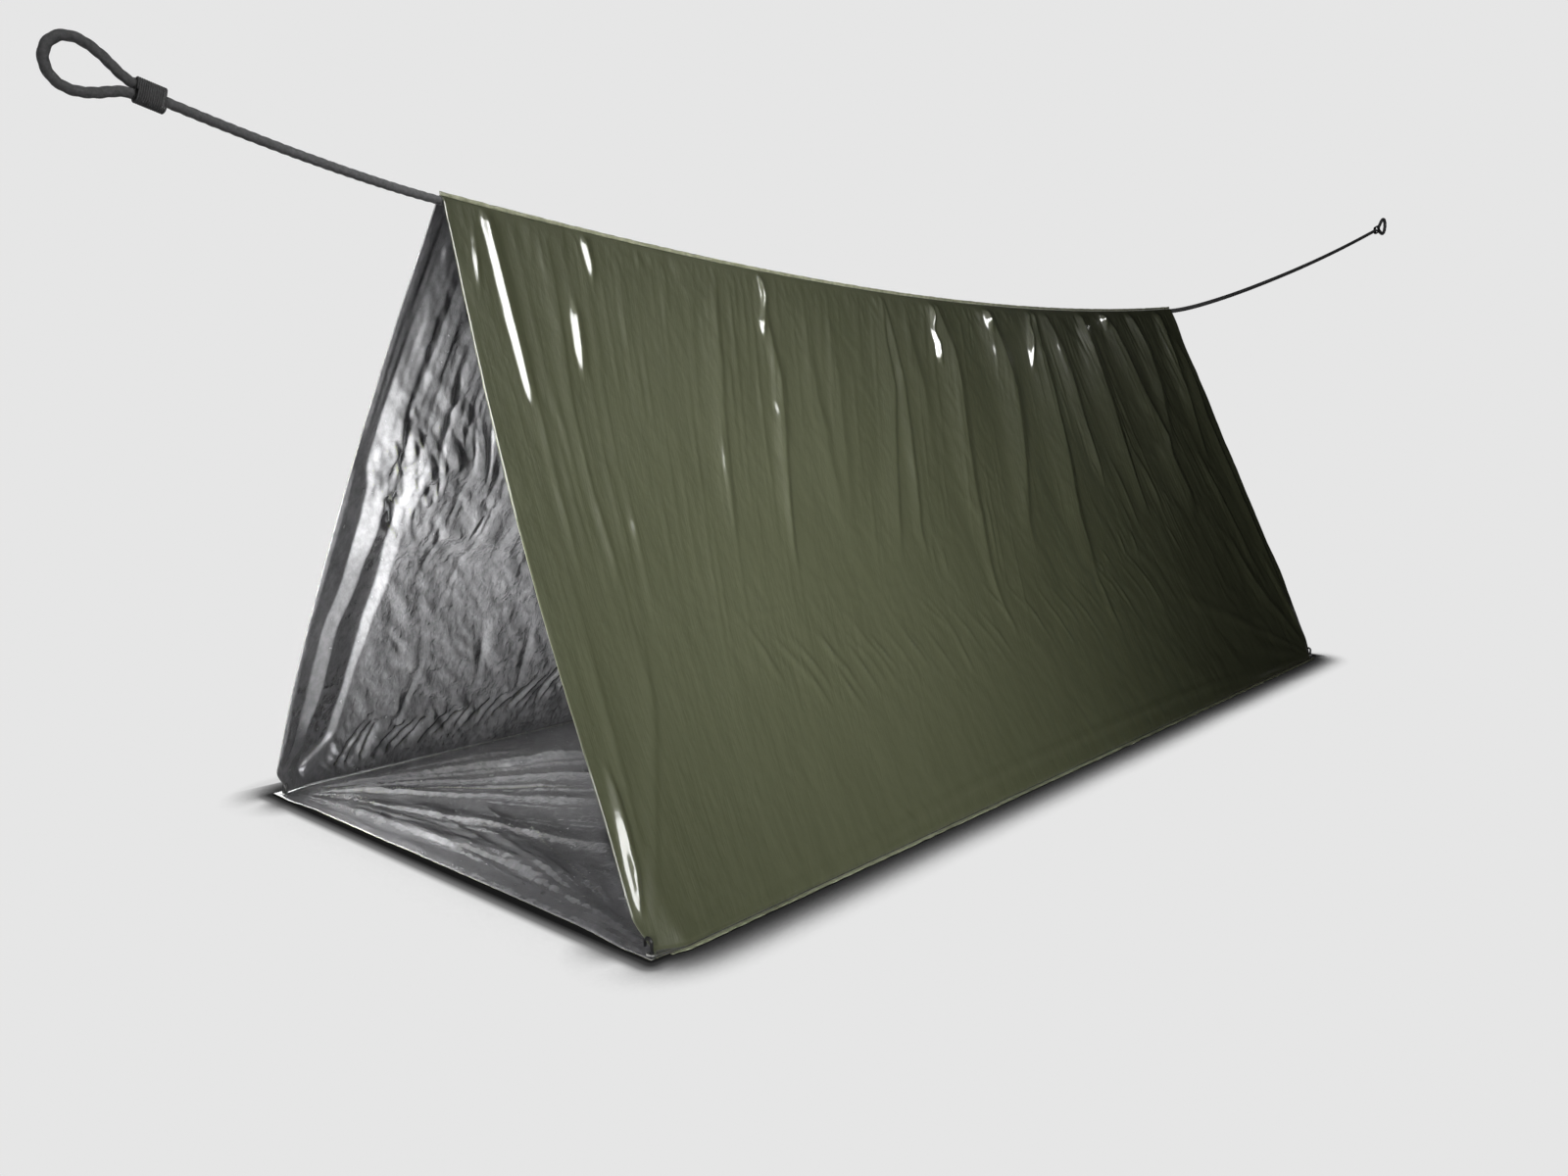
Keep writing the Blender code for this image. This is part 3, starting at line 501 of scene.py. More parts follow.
def film(name, points, thickness, materials, keep=None, soft_rim=True):
    """A closed sheet round a grid of points: its upper side, its lower side and its rim.

    materials are those of the upper side, the lower side and the rim. keep is False for cells
    that are left out. A soft rim catches the light, a hard one doesn't.
    """
    rows, cols = points.shape[:2]
    normal = np.cross(np.gradient(points, axis=1), np.gradient(points, axis=0))
    normal /= np.linalg.norm(normal, axis=2, keepdims=True)
    upper = points + normal * thickness / 2
    lower = points - normal * thickness / 2
    place = np.arange(rows * cols).reshape(rows, cols)
    if keep is None:
        keep = np.ones((rows - 1, cols - 1), bool)
    corners = np.stack([place[:-1, :-1], place[:-1, 1:], place[1:, 1:], place[1:, :-1]], -1)
    top = corners[keep]
    bottom = top[:, ::-1] + rows * cols
    # each side of a kept cell with no kept cell beyond it gets a rim face
    padded = np.pad(keep, 1)
    rims = []
    for (a, b), (dr, dc) in (((0, 1), (-1, 0)), ((1, 2), (0, 1)), ((2, 3), (1, 0)), ((3, 0), (0, -1))):
        beyond = padded[1 + dr:1 + dr + rows - 1, 1 + dc:1 + dc + cols - 1]
        open_cells = corners[keep & ~beyond]
        first, second = open_cells[:, a], open_cells[:, b]
        rims.append(np.stack([second, first, first + rows * cols, second + rows * cols], -1))
    rim = np.concatenate(rims)
    faces = np.concatenate([top, bottom, rim])
    kinds = np.repeat((0, 1, 2), (len(top), len(bottom), len(rim))).astype(np.int32)
    verts = np.concatenate([upper.reshape(-1, 3), lower.reshape(-1, 3)])
    used = np.unique(faces)
    renumber = np.zeros(len(verts), int)
    renumber[used] = np.arange(len(used))
    made = add_mesh(name, verts[used].tolist(), renumber[faces].tolist(), materials, kinds)
    if not soft_rim:
        made.data.polygons.foreach_set("use_smooth", kinds != 2)
        made.data.update()
    return made


def graded(half, front_step, rear_step):
    """Places from -1 to 1 along a sheet, close together where its silver side is in sight."""
    change = FOIL_END / half
    front = np.linspace(-1, change, int((half + FOIL_END) / front_step))
    return np.concatenate([front, np.linspace(change, 1, int((half - FOIL_END) / rear_step))[1:]])


def wall(name, side, belly, relief, materials):
    """One side of the tent, from its foot on the ground over the top of the ridge line."""
    along, rows = np.linspace(-1, 1, int(2 * HALF_RIDGE / FILM_STEP)), OLIVE_ROWS
    if side < 0:
        along, rows = graded(HALF_RIDGE, FOIL_STEP, FOIL_REAR_STEP), FOIL_ROWS
    share, rise = np.meshgrid(along, np.linspace(0, 1, rows))
    y_top = share * HALF_RIDGE
    y_foot = share * FOOT_END
    drawn_in = DRAWN_IN * (1 - ease((FOOT_END - np.abs(y_foot)) / 0.05))
    foot = floor_edge(y_foot) - FOOT_GAP - drawn_in * (1 - ease(rise / 0.25))
    centre = line_height(y_top)
    slope = np.arctan2(foot[-1], centre)
    out = np.stack([np.cos(slope), 0 * slope, np.sin(slope)], -1)
    top_x, top_z = ARCH_RADIUS * np.cos(slope), centre + ARCH_RADIUS * np.sin(slope)
    low_z = 0.0009 + 0.002 * ease((np.abs(y_foot) - STRAIGHT_REACH) / CORNER_RAMP)
    bow = np.sin(math.pi * rise)
    # above the eyelets the ends reach out beyond a straight line from foot to ridge
    reach_out = FLARES[side] * ease(rise / 0.05) * (1 - rise) + END_BULGE * bow
    plane = np.stack([foot + (top_x - foot) * rise, y_foot + (y_top - y_foot) * rise + share * reach_out,
                      low_z + (top_z - low_z) * rise], -1)
    stand = relief(share * HALF_BASE, rise) * ease(rise / 0.012) * ease((1 - rise) / 0.02)
    front, middle, rear = belly
    hollow = (front + (middle - front) * ease(share + 1) + (rear - middle) * ease(share)) * bow
    points = plane + out * (stand + hollow)[..., None]
    arch = []
    crown = math.pi / 2 - (TOUCH / 2) / ARCH_RADIUS
    for k in range(1, ARCH_STEPS + 1):
        angle = slope[-1] + (crown - slope[-1]) * k / ARCH_STEPS
        height = centre[0] + ARCH_RADIUS * np.sin(angle)
        arch.append(np.stack([ARCH_RADIUS * np.cos(angle), y_top[0], height], -1))
    points = np.concatenate([points, np.array(arch)])
    if side < 0:
        points = (points * (-1, 1, 1))[::-1]
    made = film(name + "_film", points, DRAWN_FILM, materials, soft_rim=False)
    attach(made, "tent")
    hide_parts(name)
    return made


def ray_folds(x, y, corner, rays):
    """Folds that spread from a corner. Each ray gives its far end, its height there and its two widths.

    The first width is that of the flank on the entrance's side.
    """
    total = 0.0
    for far_x, far_y, height, front, back in rays:
        run = np.array((far_x - corner[0], far_y - corner[1]))
        length = np.linalg.norm(run)
        run = run / length
        along = (x - corner[0]) * run[0] + (y - corner[1]) * run[1]
        off = ((y - corner[1]) * run[0] - (x - corner[0]) * run[1]) * np.sign(run[0])
        widen = 0.12 + 0.88 * np.clip(along / length, 0, 1)
        shape = np.where(off < 0, flank(1 + off / (front * widen)), flank(1 - off / (back * widen)))
        total += height * widen * shape * ease(along / 0.04) * ease((length - along) / (0.3 * length))
    return total


# Folds of the floor that spread from its front corners, as ray_folds takes them
FLOOR_CORNER = (.43, -1.18)
FLOOR_RAYS = (
    (-1, ((-.2, -.62, .02, .06, .09), (-.08, -.7, .008, .04, .03), (.05, -.8, .008, .04, .04),
          (.26, -.96, .009, .05, .05), (.34, -1.1, .012, .05, .16), (.1, -1.135, .004, .03, .02),
          (-.33, -.7, .01, .03, .05), (-.26, -1.115, .007, .012, .016),
          (-.28, -1.07, .006, .012, .014), (-.22, -1.02, .006, .012, .014))),
    (1, ((-.15, -1.06, .008, .04, .06), (.05, -.95, .008, .04, .05), (.24, -.72, .01, .03, .05))),
)
# Its fine ones: side, count, spans of their turns and reaches, and the largest one's height and widths
FLOOR_CREASES = (
    (-1, 46, (.02, 1.45), (.25, .75), (.003, .012, .009)),
    (-1, 26, (.03, .42), (.35, .8), (.0028, .009, .011)),
    (1, 22, (.03, .42), (.35, .8), (.0028, .009, .011)),
)


def floor_relief(x, y):
    """Height of the floor's wrinkles above the ground."""
    total = 0.0016 * (1 + facets(x * 16, y * 12, 61)) + 0.0012 * (1 + facets(x * 40, y * 30, 62))
    total += 0.0005 * (1 + facets(x * 90, y * 70, 63))
    corner_x, corner_y = FLOOR_CORNER
    for side, rays in FLOOR_RAYS:
        total += ray_folds(x, y, (side * corner_x, corner_y), rays)
    rng = np.random.default_rng(64)
    for side, count, turns, reaches, largest in FLOOR_CREASES:
        rays = []
        for _ in range(count):
            turn, reach, size = rng.uniform(*turns), rng.uniform(*reaches), rng.uniform(0.4, 1.0)
            rays.append((side * (corner_x - reach * math.cos(turn)), corner_y + reach * math.sin(turn),
                         *(size * part for part in largest)))
        total += ray_folds(x, y, (side * corner_x, corner_y), rays)
    return total


def floor(materials):
    """The floor film, wrinkled where nothing holds it down and flat round the eyelets."""
    cols = int(2 * HALF_WIDTH / FLOOR_FINE_STEP)
    across, along = np.meshgrid(np.linspace(-1, 1, cols), graded(HALF_BASE, FLOOR_FINE_STEP, FLOOR_STEP))
    y = along * HALF_BASE
    x = across * floor_edge(y)
    inset = np.minimum(floor_edge(y) - np.abs(x), 1.0)
    end_inset = HALF_BASE - np.abs(y)
    from_corner = np.maximum(inset, end_inset)
    raised = 1 - ease((from_corner - CORNER_CELL) / CORNER_RAMP)
    free = ease((from_corner - CORNER_CELL) / 0.05) * ease(inset / 0.03)
    lip = ease(end_inset / 0.012)
    z = DRAWN_FILM / 2 + CORNER_LIFT * raised + floor_relief(x, y) * free * (0.35 + 0.65 * lip)
    z += FLOOR_LIP * ease((inset - 0.04) / 0.1) * np.interp(end_inset, (0, 0.03, 0.25), (1, 1.2, 0))
    points = np.stack([x, y, z], -1)
    middle = (points[:-1, :-1] + points[1:, 1:]) / 2
    keep = np.ones(middle.shape[:2], bool)
    for side, end in CORNERS.values():
        hole = np.array((side * (HALF_WIDTH - EYELET_INSET), end * (HALF_BASE - EYELET_INSET)))
        keep &= np.linalg.norm(middle[..., :2] - hole, axis=2) > HOLE_RADIUS
    made = film("floor_film", points, DRAWN_FILM, materials, keep)
    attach(made, "tent")
    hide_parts("floor_sheet")
    return made


def shader_nodes(name):
    """A new material, its node tree and its shader."""
    made = bpy.data.materials.new(name)
    made.use_nodes = True
    return made, made.node_tree, made.node_tree.nodes["Principled BSDF"]


def feed(tree, target, values):
    """Sets a node's inputs, by name or number. Each gets a plain value or another node's output."""
    for key, value in values.items():
        if isinstance(value, bpy.types.NodeSocket):
            tree.links.new(value, target.inputs[key])
        else:
            target.inputs[key].default_value = value


def node(tree, kind, values):
    """Adds a node with these inputs."""
    made = tree.nodes.new("ShaderNode" + kind)
    feed(tree, made, values)
    return made


def math_node(tree, kind, *values):
    """What an operation makes of numbers or of other nodes' outputs."""
    made = node(tree, "Math", {})
    made.operation = kind
    feed(tree, made, dict(enumerate(values)))
    return made.outputs[0]


def vector_node(tree, kind, *values):
    """The same with vectors."""
    made = node(tree, "VectorMath", {})
    made.operation = kind
    feed(tree, made, dict(enumerate(values)))
    return made.outputs["Value" if kind in ("LENGTH", "DOT_PRODUCT") else "Vector"]


def range_node(tree, value, spans, kind="LINEAR"):
    """Carries a value from one span over to another. spans holds both ends of each."""
    made = node(tree, "MapRange", {})
    made.interpolation_type = kind
    feed(tree, made, dict(zip(("Value", "From Min", "From Max", "To Min", "To Max"), (value, *spans))))
    return made.outputs[0]


def noise_node(tree, where, detail=4.0, roughness=0.55, kind="FBM"):
    made = node(tree, "TexNoise", {})
    made.noise_type = kind
    feed(tree, made, {"Vector": where, "Scale": 1.0, "Detail": detail, "Roughness": roughness})
    return made.outputs["Fac"]


def ramp_node(tree, value, low, high, colours):
    """Spreads colours or greys evenly between the values low and high."""
    made = node(tree, "ValToRGB", {"Fac": value})
    elements = made.color_ramp.elements
    while len(elements) < len(colours):
        elements.new(0.5)
    for i, colour in enumerate(colours):
        elements[i].position = low + (high - low) * i / (len(colours) - 1)
        elements[i].color = (*colour, 1.0) if isinstance(colour, tuple) else (colour, colour, colour, 1.0)
    return made.outputs["Color"]


def bump_node(tree, height, strength, distance, before=None):
    made = node(tree, "Bump", {"Strength": strength, "Distance": distance, "Height": height})
    if before is not None:
        feed(tree, made, {"Normal": before})
    return made.outputs["Normal"]


def stretched(tree, where, scale):
    """Coordinates, stretched by scale on each axis."""
    return node(tree, "Mapping", {"Vector": where, "Scale": scale}).outputs["Vector"]


def object_place(tree):
    return node(tree, "TexCoord", {}).outputs["Object"]


def place_node(tree, scale):
    """Object coordinates, stretched by scale on each axis."""
    return stretched(tree, object_place(tree), scale)


def bent_place(tree, scale, reach):
    """Object coordinates pushed about by noise, so that patterns in them look torn and random."""
    where = place_node(tree, scale)
    push = node(tree, "TexNoise", {"Vector": where, "Scale": 0.6}).outputs["Color"]
    return vector_node(tree, "MULTIPLY_ADD", push, (reach,) * 3, where)


def leaning_place(tree, scale):
    """Object coordinates whose upright lines lean as the folds do."""
    x, y, z = node(tree, "SeparateXYZ", {0: object_place(tree)}).outputs
    length = 2 * HALF_BASE
    curve = node(tree, "FloatCurve", {"Value": math_node(tree, "MULTIPLY_ADD", y, 1 / length, 0.5)})
    points = curve.mapping.curves[0].points
    points[0].location, points[1].location = (0.0, 0.5), (1.0, 0.5)
    for place, lean in LEANS[1:-1]:
        points.new((place + HALF_BASE) / length, 0.5 + lean)
    curve.mapping.update()
    push = math_node(tree, "MULTIPLY", math_node(tree, "SUBTRACT", curve.outputs[0], 0.5), z)
    leaning = node(tree, "CombineXYZ", {"X": x, "Y": math_node(tree, "SUBTRACT", y, push), "Z": z})
    return stretched(tree, leaning.outputs[0], scale)


def olive_film():
    """Glossy olive-drab film with faint streaks that run down from the ridge."""
    made, tree, shader = shader_nodes("olive_outside")
    streak = noise_node(tree, place_node(tree, (3, 60, 5)), 3.0)
    cloudy = noise_node(tree, place_node(tree, (6, 6, 6)))
    fine = noise_node(tree, place_node(tree, (30, 190, 26)))
    threads = noise_node(tree, leaning_place(tree, (4, 130, 4)), 3.0)
    crinkle = node(tree, "TexVoronoi", {"Vector": bent_place(tree, (60, 90, 50), 1.6), "Scale": 1.0})
    small = bump_node(tree, crinkle.outputs["Distance"], 0.22, 0.002, bump_node(tree, fine, 0.4, 0.001))
    feed(tree, shader, {
        "Base Color": ramp_node(tree, streak, 0.3, 0.7, ((0.094, 0.101, 0.057), (0.108, 0.116, 0.067))),
        "Roughness": ramp_node(tree, cloudy, 0.3, 0.7, (0.38, 0.5)),
        "Normal": bump_node(tree, threads, 0.55, 0.0016, small),
        "Specular IOR Level": 0.1, "Coat Weight": 0.8, "Coat Roughness": 0.08})
    return made


def silver_film():
    """Bright metallised film: taut at the entrance and crinkled behind it."""
    made, tree, shader = shader_nodes("silver_inside")
    grain = noise_node(tree, place_node(tree, (90, 90, 50)), 6.0, 0.7)
    crinkle_sheen_pattern = noise_node(tree, bent_place(tree, (26, 30, 18), 2.0), 5.0, 0.6, "RIDGED_MULTIFRACTAL")
    dull = ramp_node(tree, grain, 0.35, 0.65, ((0.36, 0.36, 0.37), (0.6, 0.6, 0.61)))
    # painted sheen and shade of crinkles: the colour is lighter along the ridges of this noise and darker
    # between them
    bright = ramp_node(tree, crinkle_sheen_pattern, 0.35, 0.95, (0.7, 1.0, 1.15))
    small = noise_node(tree, bent_place(tree, (110, 110, 60), 1.2), 3.0, 0.6, "RIDGED_MULTIFRACTAL")
    _, y, _ = node(tree, "SeparateXYZ", {0: object_place(tree)}).outputs
    loose = range_node(tree, y, (-1.11, -1.07, 0.12, 1.0), "SMOOTHSTEP")
    grainy, creased = (math_node(tree, "MULTIPLY", height, loose) for height in (grain, small))
    feed(tree, shader, {
        "Metallic": 0.7,
        "Base Color": vector_node(tree, "MULTIPLY", dull, bright),
        "Roughness": ramp_node(tree, grain, 0.3, 0.7, (0.28, 0.17)),
        "Normal": bump_node(tree, creased, 0.5, 0.0016, bump_node(tree, grainy, 0.6, 0.002))})
    return made


def finish(name):
    """One of the plain FINISHES."""
    made, tree, shader = shader_nodes(name)
    colours, low, rough, scale, detail, strength, depth, metallic = FINISHES[name]
    specks = noise_node(tree, place_node(tree, scale), detail)
    feed(tree, shader, {
        "Base Color": ramp_node(tree, specks, low, 0.7, colours), "Metallic": metallic,
        "Roughness": ramp_node(tree, specks, 0.3, 0.7, rough) if isinstance(rough, tuple) else rough,
        "Normal": bump_node(tree, specks, strength, depth)})
    return made


def run_along(path):
    """How far along a path each of its points lies."""
    return np.concatenate([[0], np.cumsum(np.linalg.norm(np.diff(path, axis=0), axis=1))])


def smooth_route(route, step):
    """Evenly spaced points on a smooth curve through the route's own points."""
    points = [Vector(p) for p in route]
    ends = [2 * points[0] - points[1]] + points + [2 * points[-1] - points[-2]]
    fine = []
    for i in range(1, len(ends) - 2):
        before, start, end, after = ends[i - 1:i + 3]
        for k in range(24):
            t = k / 24
            fine.append(0.5 * (2 * start + (end - before) * t
                               + (2 * before - 5 * start + 4 * end - after) * t * t
                               + (3 * start - before - 3 * end + after) * t ** 3))
    fine.append(points[-1])
    fine = np.array(fine)
    run = run_along(fine)
    places = np.linspace(0, run[-1], max(2, round(run[-1] / step)) + 1)
    return np.stack([np.interp(places, run, fine[:, k]) for k in range(3)], -1)


def rope(name, path, radius, side, fibre, strands=3, pitch=0.042, depth=0.16, count=24):
    """A laid rope along a path: strands twist round each other once in each pitch."""
    heading = np.gradient(path, axis=0)
    heading /= np.linalg.norm(heading, axis=1, keepdims=True)
    across = np.cross(heading, np.array(side, float))
    across /= np.linalg.norm(across, axis=1, keepdims=True)
    other = np.cross(heading, across)
    angle = np.linspace(0, math.tau, count, endpoint=False)
    turn = math.tau * run_along(path)[:, None] / pitch
    lobe = np.abs(np.cos(strands / 2 * (angle[None] - turn)))
    reach = radius * (1 - depth + depth * lobe)
    rings = path[:, None] + reach[..., None] * (np.cos(angle)[None, :, None] * across[:, None]
                                                + np.sin(angle)[None, :, None] * other[:, None])
    rows = len(path)
    place = np.arange(rows * count).reshape(rows, count)
    after = np.roll(place, -1, axis=1)
    faces = np.stack([place[:-1], after[:-1], after[1:], place[1:]], -1).reshape(-1, 4).tolist()
    faces += [place[0].tolist()[::-1], place[-1].tolist()]
    made = add_mesh(name, rings.reshape(-1, 3).tolist(), faces, [fibre])
    shape = bmesh.new()
    shape.from_mesh(made.data)
    bmesh.ops.recalc_face_normals(shape, faces=shape.faces)
    shape.to_mesh(made.data)
    shape.free()
    return made


def line_end(prefix, end, route, rope_finish, twine_finish):
    """A free stretch of the line with its seized eye."""
    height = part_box("front_cord")[0].z + CORD_RADIUS
    points = [Vector((0.0, end * (HALF_RIDGE + TOUCH / 2 + out), height + up)) for out, up in route]
    path = smooth_route(points, ROPE_STEP)
    line = rope(prefix + "_rope", path, CORD_RADIUS, (1, 0, 0), rope_finish)
    start = points[-1]
    along = (start - points[-2]).normalized()
    across = Vector((1.0, 0.0, 0.0)).cross(along)
    leg = CORD_RADIUS + TOUCH / 2
    base = start + along * SEIZING_LENGTH
    half = [(-SEIZING_LENGTH, leg), (0.0, leg), (CORD_RADIUS, leg), (0.3 * EYE_LENGTH, 0.42 * EYE_RADIUS),
            (0.54 * EYE_LENGTH, 0.72 * EYE_RADIUS), (0.78 * EYE_LENGTH, 0.93 * EYE_RADIUS)]
    bend = [(EYE_LENGTH + EYE_RADIUS * math.sin(math.radians(a)), EYE_RADIUS * math.cos(math.radians(a)))
            for a in range(0, 181, 30)]
    outline = half[1:] + bend + [(run, -tall) for run, tall in reversed(half[1:])]
    eye_path = smooth_route([base + along * run + across * tall for run, tall in outline], 0.003)
    loop = rope(prefix + "_rope_eye", eye_path, CORD_RADIUS, (1, 0, 0), rope_finish)
    half_wide = CORD_RADIUS + SEIZING_WRAP / 2
    half_tall = CORD_DIAMETER + TOUCH + SEIZING_WRAP / 2
    straight = half_tall - half_wide
    turns, steps = 14, 28
    wound = []
    for i in range(turns * steps + 1):
        angle = math.tau * i / steps
        run = SEIZING_WRAP / 2 + TOUCH + (SEIZING_LENGTH - SEIZING_WRAP - 2 * TOUCH) * i / (turns * steps)
        tall = half_wide * math.sin(angle) + straight * math.tanh(4 * math.sin(angle))
        wound.append(start + along * run + across * tall + Vector((half_wide * math.cos(angle), 0, 0)))
    twine = rope(prefix + "_twine", np.array(wound), SEIZING_WRAP / 2, (0.13, 0.9, 0.4), twine_finish,
                 strands=2, pitch=0.006, depth=0.1, count=8)
    for piece, kind, slot in ((line, "_cord", "rope"), (loop, "_eye", "rope"), (twine, "_seizing", "twine")):
        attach(piece, "ridge_line")
        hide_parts(prefix + kind)


def ridge_line(fibre):
    """The line inside the tent."""
    y = np.linspace(-HALF_RIDGE + TOUCH / 2, HALF_RIDGE - TOUCH / 2, int(2 * HALF_RIDGE / ROPE_STEP))
    path = np.stack([0 * y, y, line_height(y)], -1)
    made = rope("ridge_rope", path, CORD_RADIUS, (1, 0, 0), fibre)
    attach(made, "ridge_line")
    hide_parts("ridge_cord")


def seams(pale):
    """The sealed edges: a puckered fin along the ridge and a flat band outside each wall's foot."""
    # the pale colour of these bands is in part a painted highlight along the film's edges
    y = np.linspace(-HALF_RIDGE, HALF_RIDGE, SEAM_CELLS)
    foot = line_height(y) + ARCH_RADIUS + FILM / 2 + TOUCH
    rows = []
    for k in range(4):
        share = k / 3
        lean = 0.0011 * share * noise(y * 70, share, 71)
        rise = RIDGE_SEAM_HEIGHT * share * (1 + 0.12 * noise(y * 90, 0.5, 72))
        rows.append(np.stack([lean, y, foot + rise], -1))
    ridge = film("ridge_seam_film", np.array(rows), DRAWN_FILM, (pale,) * 3)
    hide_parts("ridge_seam")
    made = [ridge]
    reach = HALF_BASE - SEAM_TAPER
    y = np.linspace(-reach, reach, SEAM_CELLS)
    for name, side in (("right_floor_seam", 1), ("left_floor_seam", -1)):
        width = BASE_SEAM_WIDTH * (0.35 + 0.65 * ease((reach - np.abs(y)) / SEAM_TAPER))
        start = floor_edge(y) + TOUCH
        rows = []
        for share in (0.0, 0.35, 0.7, 1.0):
            lift = DRAWN_FILM / 2 + 0.0006 * share * (1 + noise(y * 60, share * 2, 75 + side))
            rows.append(np.stack([side * (start + width * share), y, lift], -1))
        rows = rows if side < 0 else rows[::-1]
        band = film(name + "_film", np.array(rows), DRAWN_FILM, (pale,) * 3)
        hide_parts(name)
        made.append(band)
    for band in made:
        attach(band, "tent")
    return made


def camera():
    """The photograph's viewpoint."""
    azimuth, elevation, roll = (math.radians(a) for a in (CAMERA_AZIMUTH, CAMERA_ELEVATION, CAMERA_ROLL))
    data = bpy.data.cameras.new("photo_camera")
    data.lens, data.sensor_width = CAMERA_LENS, SENSOR_WIDTH
    data.clip_start, data.clip_end = 0.02, 200
    made = bpy.context.scene.camera = add_object("photo_camera", data)
    made.matrix_world = Matrix.Translation(CAMERA_PLACE)
    for angle, axis in ((azimuth, "Z"), (math.pi / 2 - elevation, "X"), (roll, "Z")):
        made.matrix_world = made.matrix_world @ Matrix.Rotation(angle, 4, axis)


def area_light(name, place, target, size, power, spread=180.0, shades=True, shines=True):
    """A softbox. shades and shines say whether it lights surfaces and shows in their gloss."""
    data = bpy.data.lights.new(name, "AREA")
    data.shape = "RECTANGLE"
    data.size, data.size_y = size
    data.energy = power
    data.spread = math.radians(spread)
    made = add_object(name, data)
    made.location = place
    made.rotation_euler = (Vector(target) - Vector(place)).to_track_quat("-Z", "Y").to_euler()
    made.visible_diffuse = shades
    made.visible_glossy = shines


def set_behind(tree, output, plain, shown, spread):
    """Shows one shader to the rays that show the background, and the plain one to all others.

    Those are the camera's, which get it at full strength, and those in gloss and glass, at spread.
    """
    rays = node(tree, "LightPath", {}).outputs
    seen = rays["Is Camera Ray"]
    for kind in ("Is Glossy Ray", "Is Transmission Ray"):
        seen = math_node(tree, "MAXIMUM", seen, rays[kind])
    feed(tree, shown, {"Strength": math_node(tree, "MAXIMUM", rays["Is Camera Ray"], spread)})
    mix = node(tree, "MixShader", {"Fac": seen, 1: plain.outputs[0], 2: shown.outputs[0]})
    feed(tree, output, {"Surface": mix.outputs[0]})


def world():
    """A pale studio: an even background, lit from the front and dark behind the tent."""
    made = bpy.data.worlds.new("studio")
    bpy.context.scene.world = made
    made.use_nodes = True
    tree = made.node_tree
    tree.nodes.clear()
    heading = node(tree, "TexCoord", {}).outputs["Generated"]
    facing = vector_node(tree, "DOT_PRODUCT", heading, (0.0, -0.95, 0.3))
    spread = range_node(tree, facing, (-0.35, 0.75, WORLD_REAR, 1.0), "SMOOTHSTEP")
    plain = node(tree, "Background", {"Color": (WORLD_LIGHT,) * 3 + (1.0,), "Strength": spread})
    shown = node(tree, "Background", {"Color": (BACKGROUND,) * 3 + (1.0,)})
    set_behind(tree, node(tree, "OutputWorld", {}), plain, shown, spread)


def ground():
    """A plain pale floor with a painted shadow: its glow darkens only close to what stands on it, by ambient
    occlusion and by distance from the floor sheet.
    """
    mesh = bpy.data.meshes.new("ground")
    mesh.from_pydata([(x * GROUND_REACH, y * GROUND_REACH, GROUND_LEVEL)
                      for x, y in ((-1, -1), (1, -1), (1, 1), (-1, 1))], [], [(0, 1, 2, 3)])
    add_object("ground", mesh)
    paint, tree, shader = shader_nodes("pale_floor_with_painted_shadow")
    mesh.materials.append(paint)
    feed(tree, shader, {"Base Color": (0.5, 0.5, 0.5, 1.0), "Roughness": 0.9})
    # ambient occlusion near what stands on the floor, painted into its glow as shade
    near = node(tree, "AmbientOcclusion", {"Distance": SHADOW_REACH})
    near.samples = 48
    where = object_place(tree)
    x, y, _ = node(tree, "SeparateXYZ", {0: where}).outputs
    # the painted shadow is faint on the two sides that face away from the camera
    shade = near.outputs["AO"]
    for axis, spans in ((x, (-0.5, -0.455, FAINT_SHADOW, 0.0)), (y, (1.205, 1.25, 0.0, FAINT_SHADOW))):
        shade = math_node(tree, "MAXIMUM", shade, range_node(tree, axis, spans))
    # a narrow painted shadow, drawn by distance from the floor sheet's outline, runs all round the sheet,
    # which is too thin to be dark beside it
    away = vector_node(tree, "SUBTRACT", vector_node(tree, "ABSOLUTE", where), (HALF_WIDTH, HALF_BASE, 1.0))
    away = vector_node(tree, "LENGTH", vector_node(tree, "MAXIMUM", away, (0.0, 0.0, 0.0)))
    shade = math_node(tree, "MINIMUM", shade, range_node(tree, away, (0.0, EDGE_SHADOW, EDGE_SHARE, 1.0)))
    glow_with_painted_shadow = node(tree, "Emission", {"Color": ramp_node(tree, shade, SHADOW_START, 1.0, SHADOW_GREYS)})
    # in gloss and glass the floor's glow fades towards the rear: painted shade in the reflections
    spread = range_node(tree, y, (-0.8, 0.8, 1.0, 0.1), "SMOOTHSTEP")
    set_behind(tree, tree.nodes["Material Output"], shader, glow_with_painted_shadow, spread)


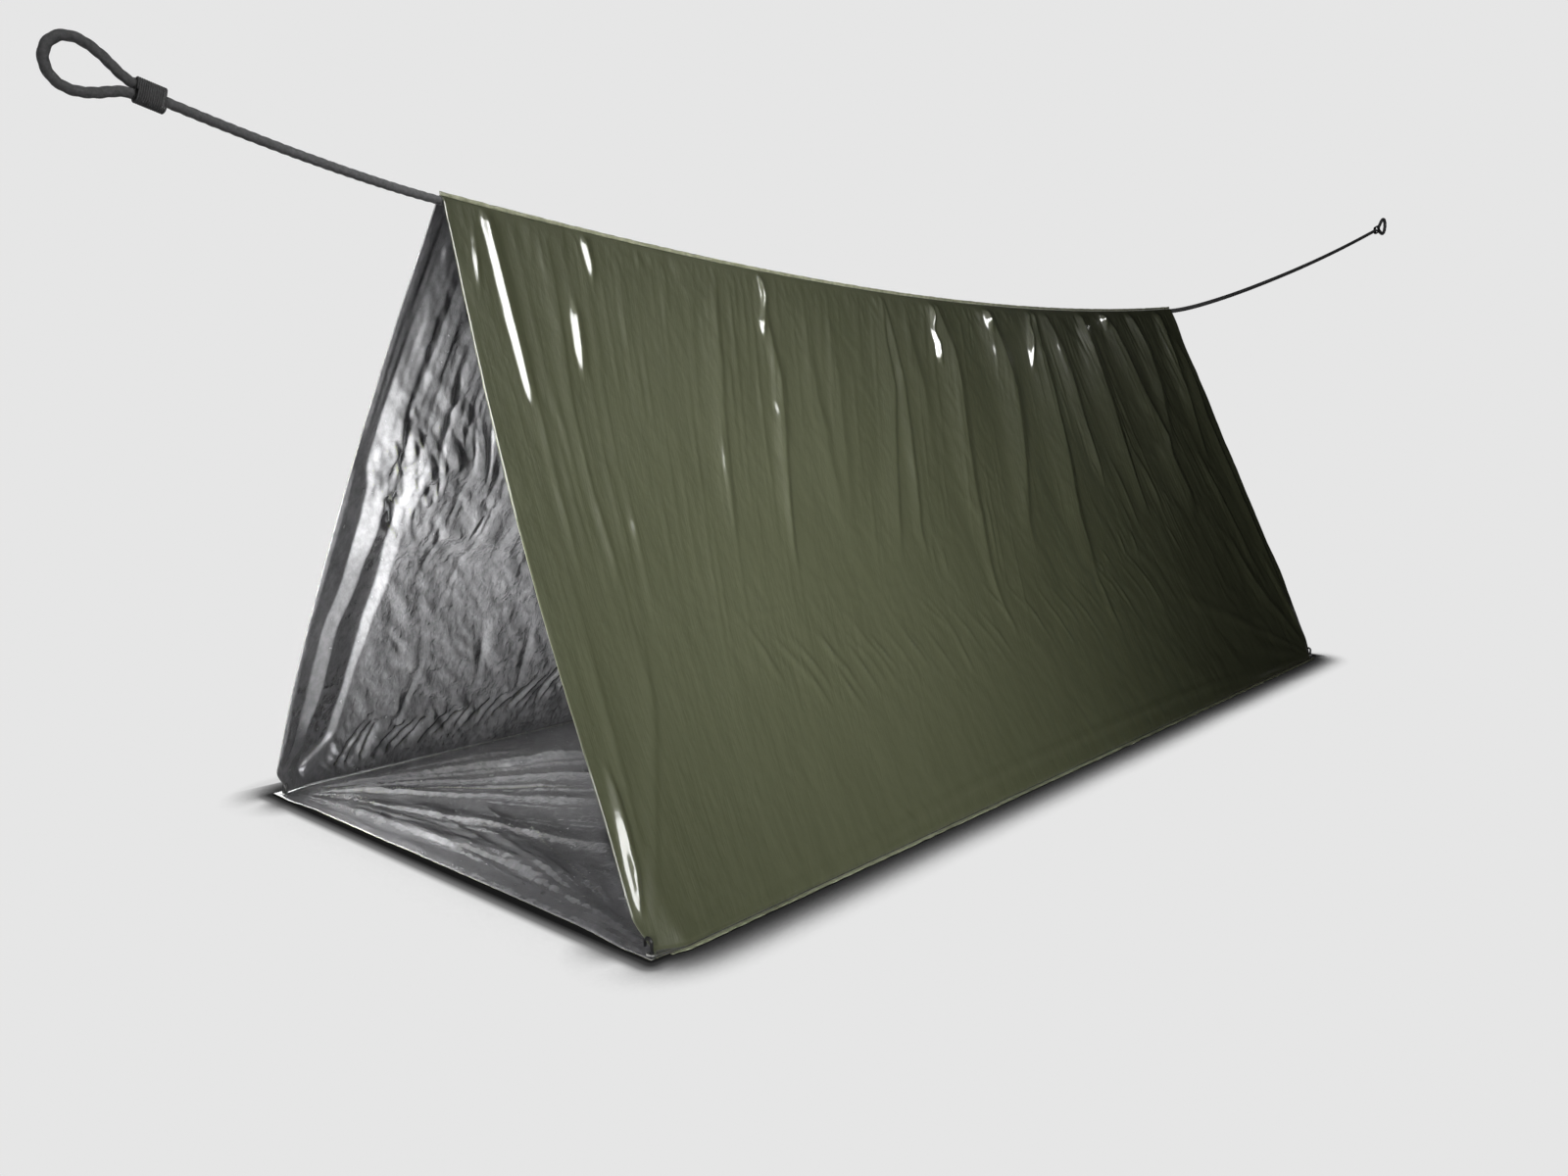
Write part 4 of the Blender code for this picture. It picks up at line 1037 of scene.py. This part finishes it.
def lights():
    """Softboxes at the front right and the left, and strips that only show in the film's gloss."""
    area_light("side_key", (3.2, -1.2, 1.63), (0.25, -0.72, 0.5), (0.7, 0.7), 4.7, 43, shines=False)
    area_light("front_key", (1.4, -3.2, 0.5), (0.25, -0.1, 0.45), (0.7, 0.7), 2.5, 34)
    area_light("left_fill", (-3.0, -0.5, 1.2), (-0.2, 0.0, 0.4), (2.5, 1.5), 60)
    area_light("entrance", (0.25, -3.2, 0.16), (-0.24, -1.05, 0.44), (0.3, 0.2), 8.2, 24)
    area_light("entrance_floor", (-0.05, -3.4, 0.5), (-0.15, -1.05, 0.0), (0.3, 0.2), 1.8, 14)
    area_light("ridge_strip", (1.07, -0.9, 1.81), (0.0, -0.9, 0.8), (1.4, 0.75), 9, 50, shades=False)
    area_light("rear_strip", (1.25, 0.45, 1.95), (0.0, 0.45, 0.85), (1.3, 0.3), 5, 50, shades=False)
    area_light("corner_strip", (2.1, -1.85, 0.98), (0.4, -1.15, 0.12), (0.8, 0.8), 42, shades=False)


def build():
    for item in list(bpy.data.objects):
        bpy.data.objects.remove(item, do_unlink=True)
    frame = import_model()
    bpy.context.scene.view_settings.view_transform = "Standard"
    camera()
    rope_grey, twine_black = finish("grey_rope"), finish("black_twine")
    for prefix, end, route in (("front", -1, FRONT_ROUTE), ("rear", 1, REAR_ROUTE)):
        line_end(prefix, end, route, rope_grey, twine_black)
    ridge_line(rope_grey)
    olive, silver, pale = olive_film(), silver_film(), finish("seam_colour_and_edge_highlight")
    # pale is the seams' colour, partly a painted highlight; on the right-hand wall's rim and the floor's rim
    # it paints a highlight along their cut edges
    right = wall("right_wall", 1, RIGHT_BELLY, right_relief, (olive, silver, pale))
    left = wall("left_wall", -1, LEFT_BELLY, left_relief, (olive, silver, olive))
    base = floor((silver, olive, pale))
    bands = seams(pale)
    for piece in (right, left, bands[0]):
        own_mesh(piece)
    plated, black = finish("plated_steel"), finish("black_steel")
    for corner in CORNERS:
        for kind, metal in (("eyelet_", plated), ("washer_", plated), ("peg_", black)):
            data = frame["nodes"][kind + corner].data
            data.materials.clear()
            data.materials.append(metal)
    world()
    ground()
    lights()


build()
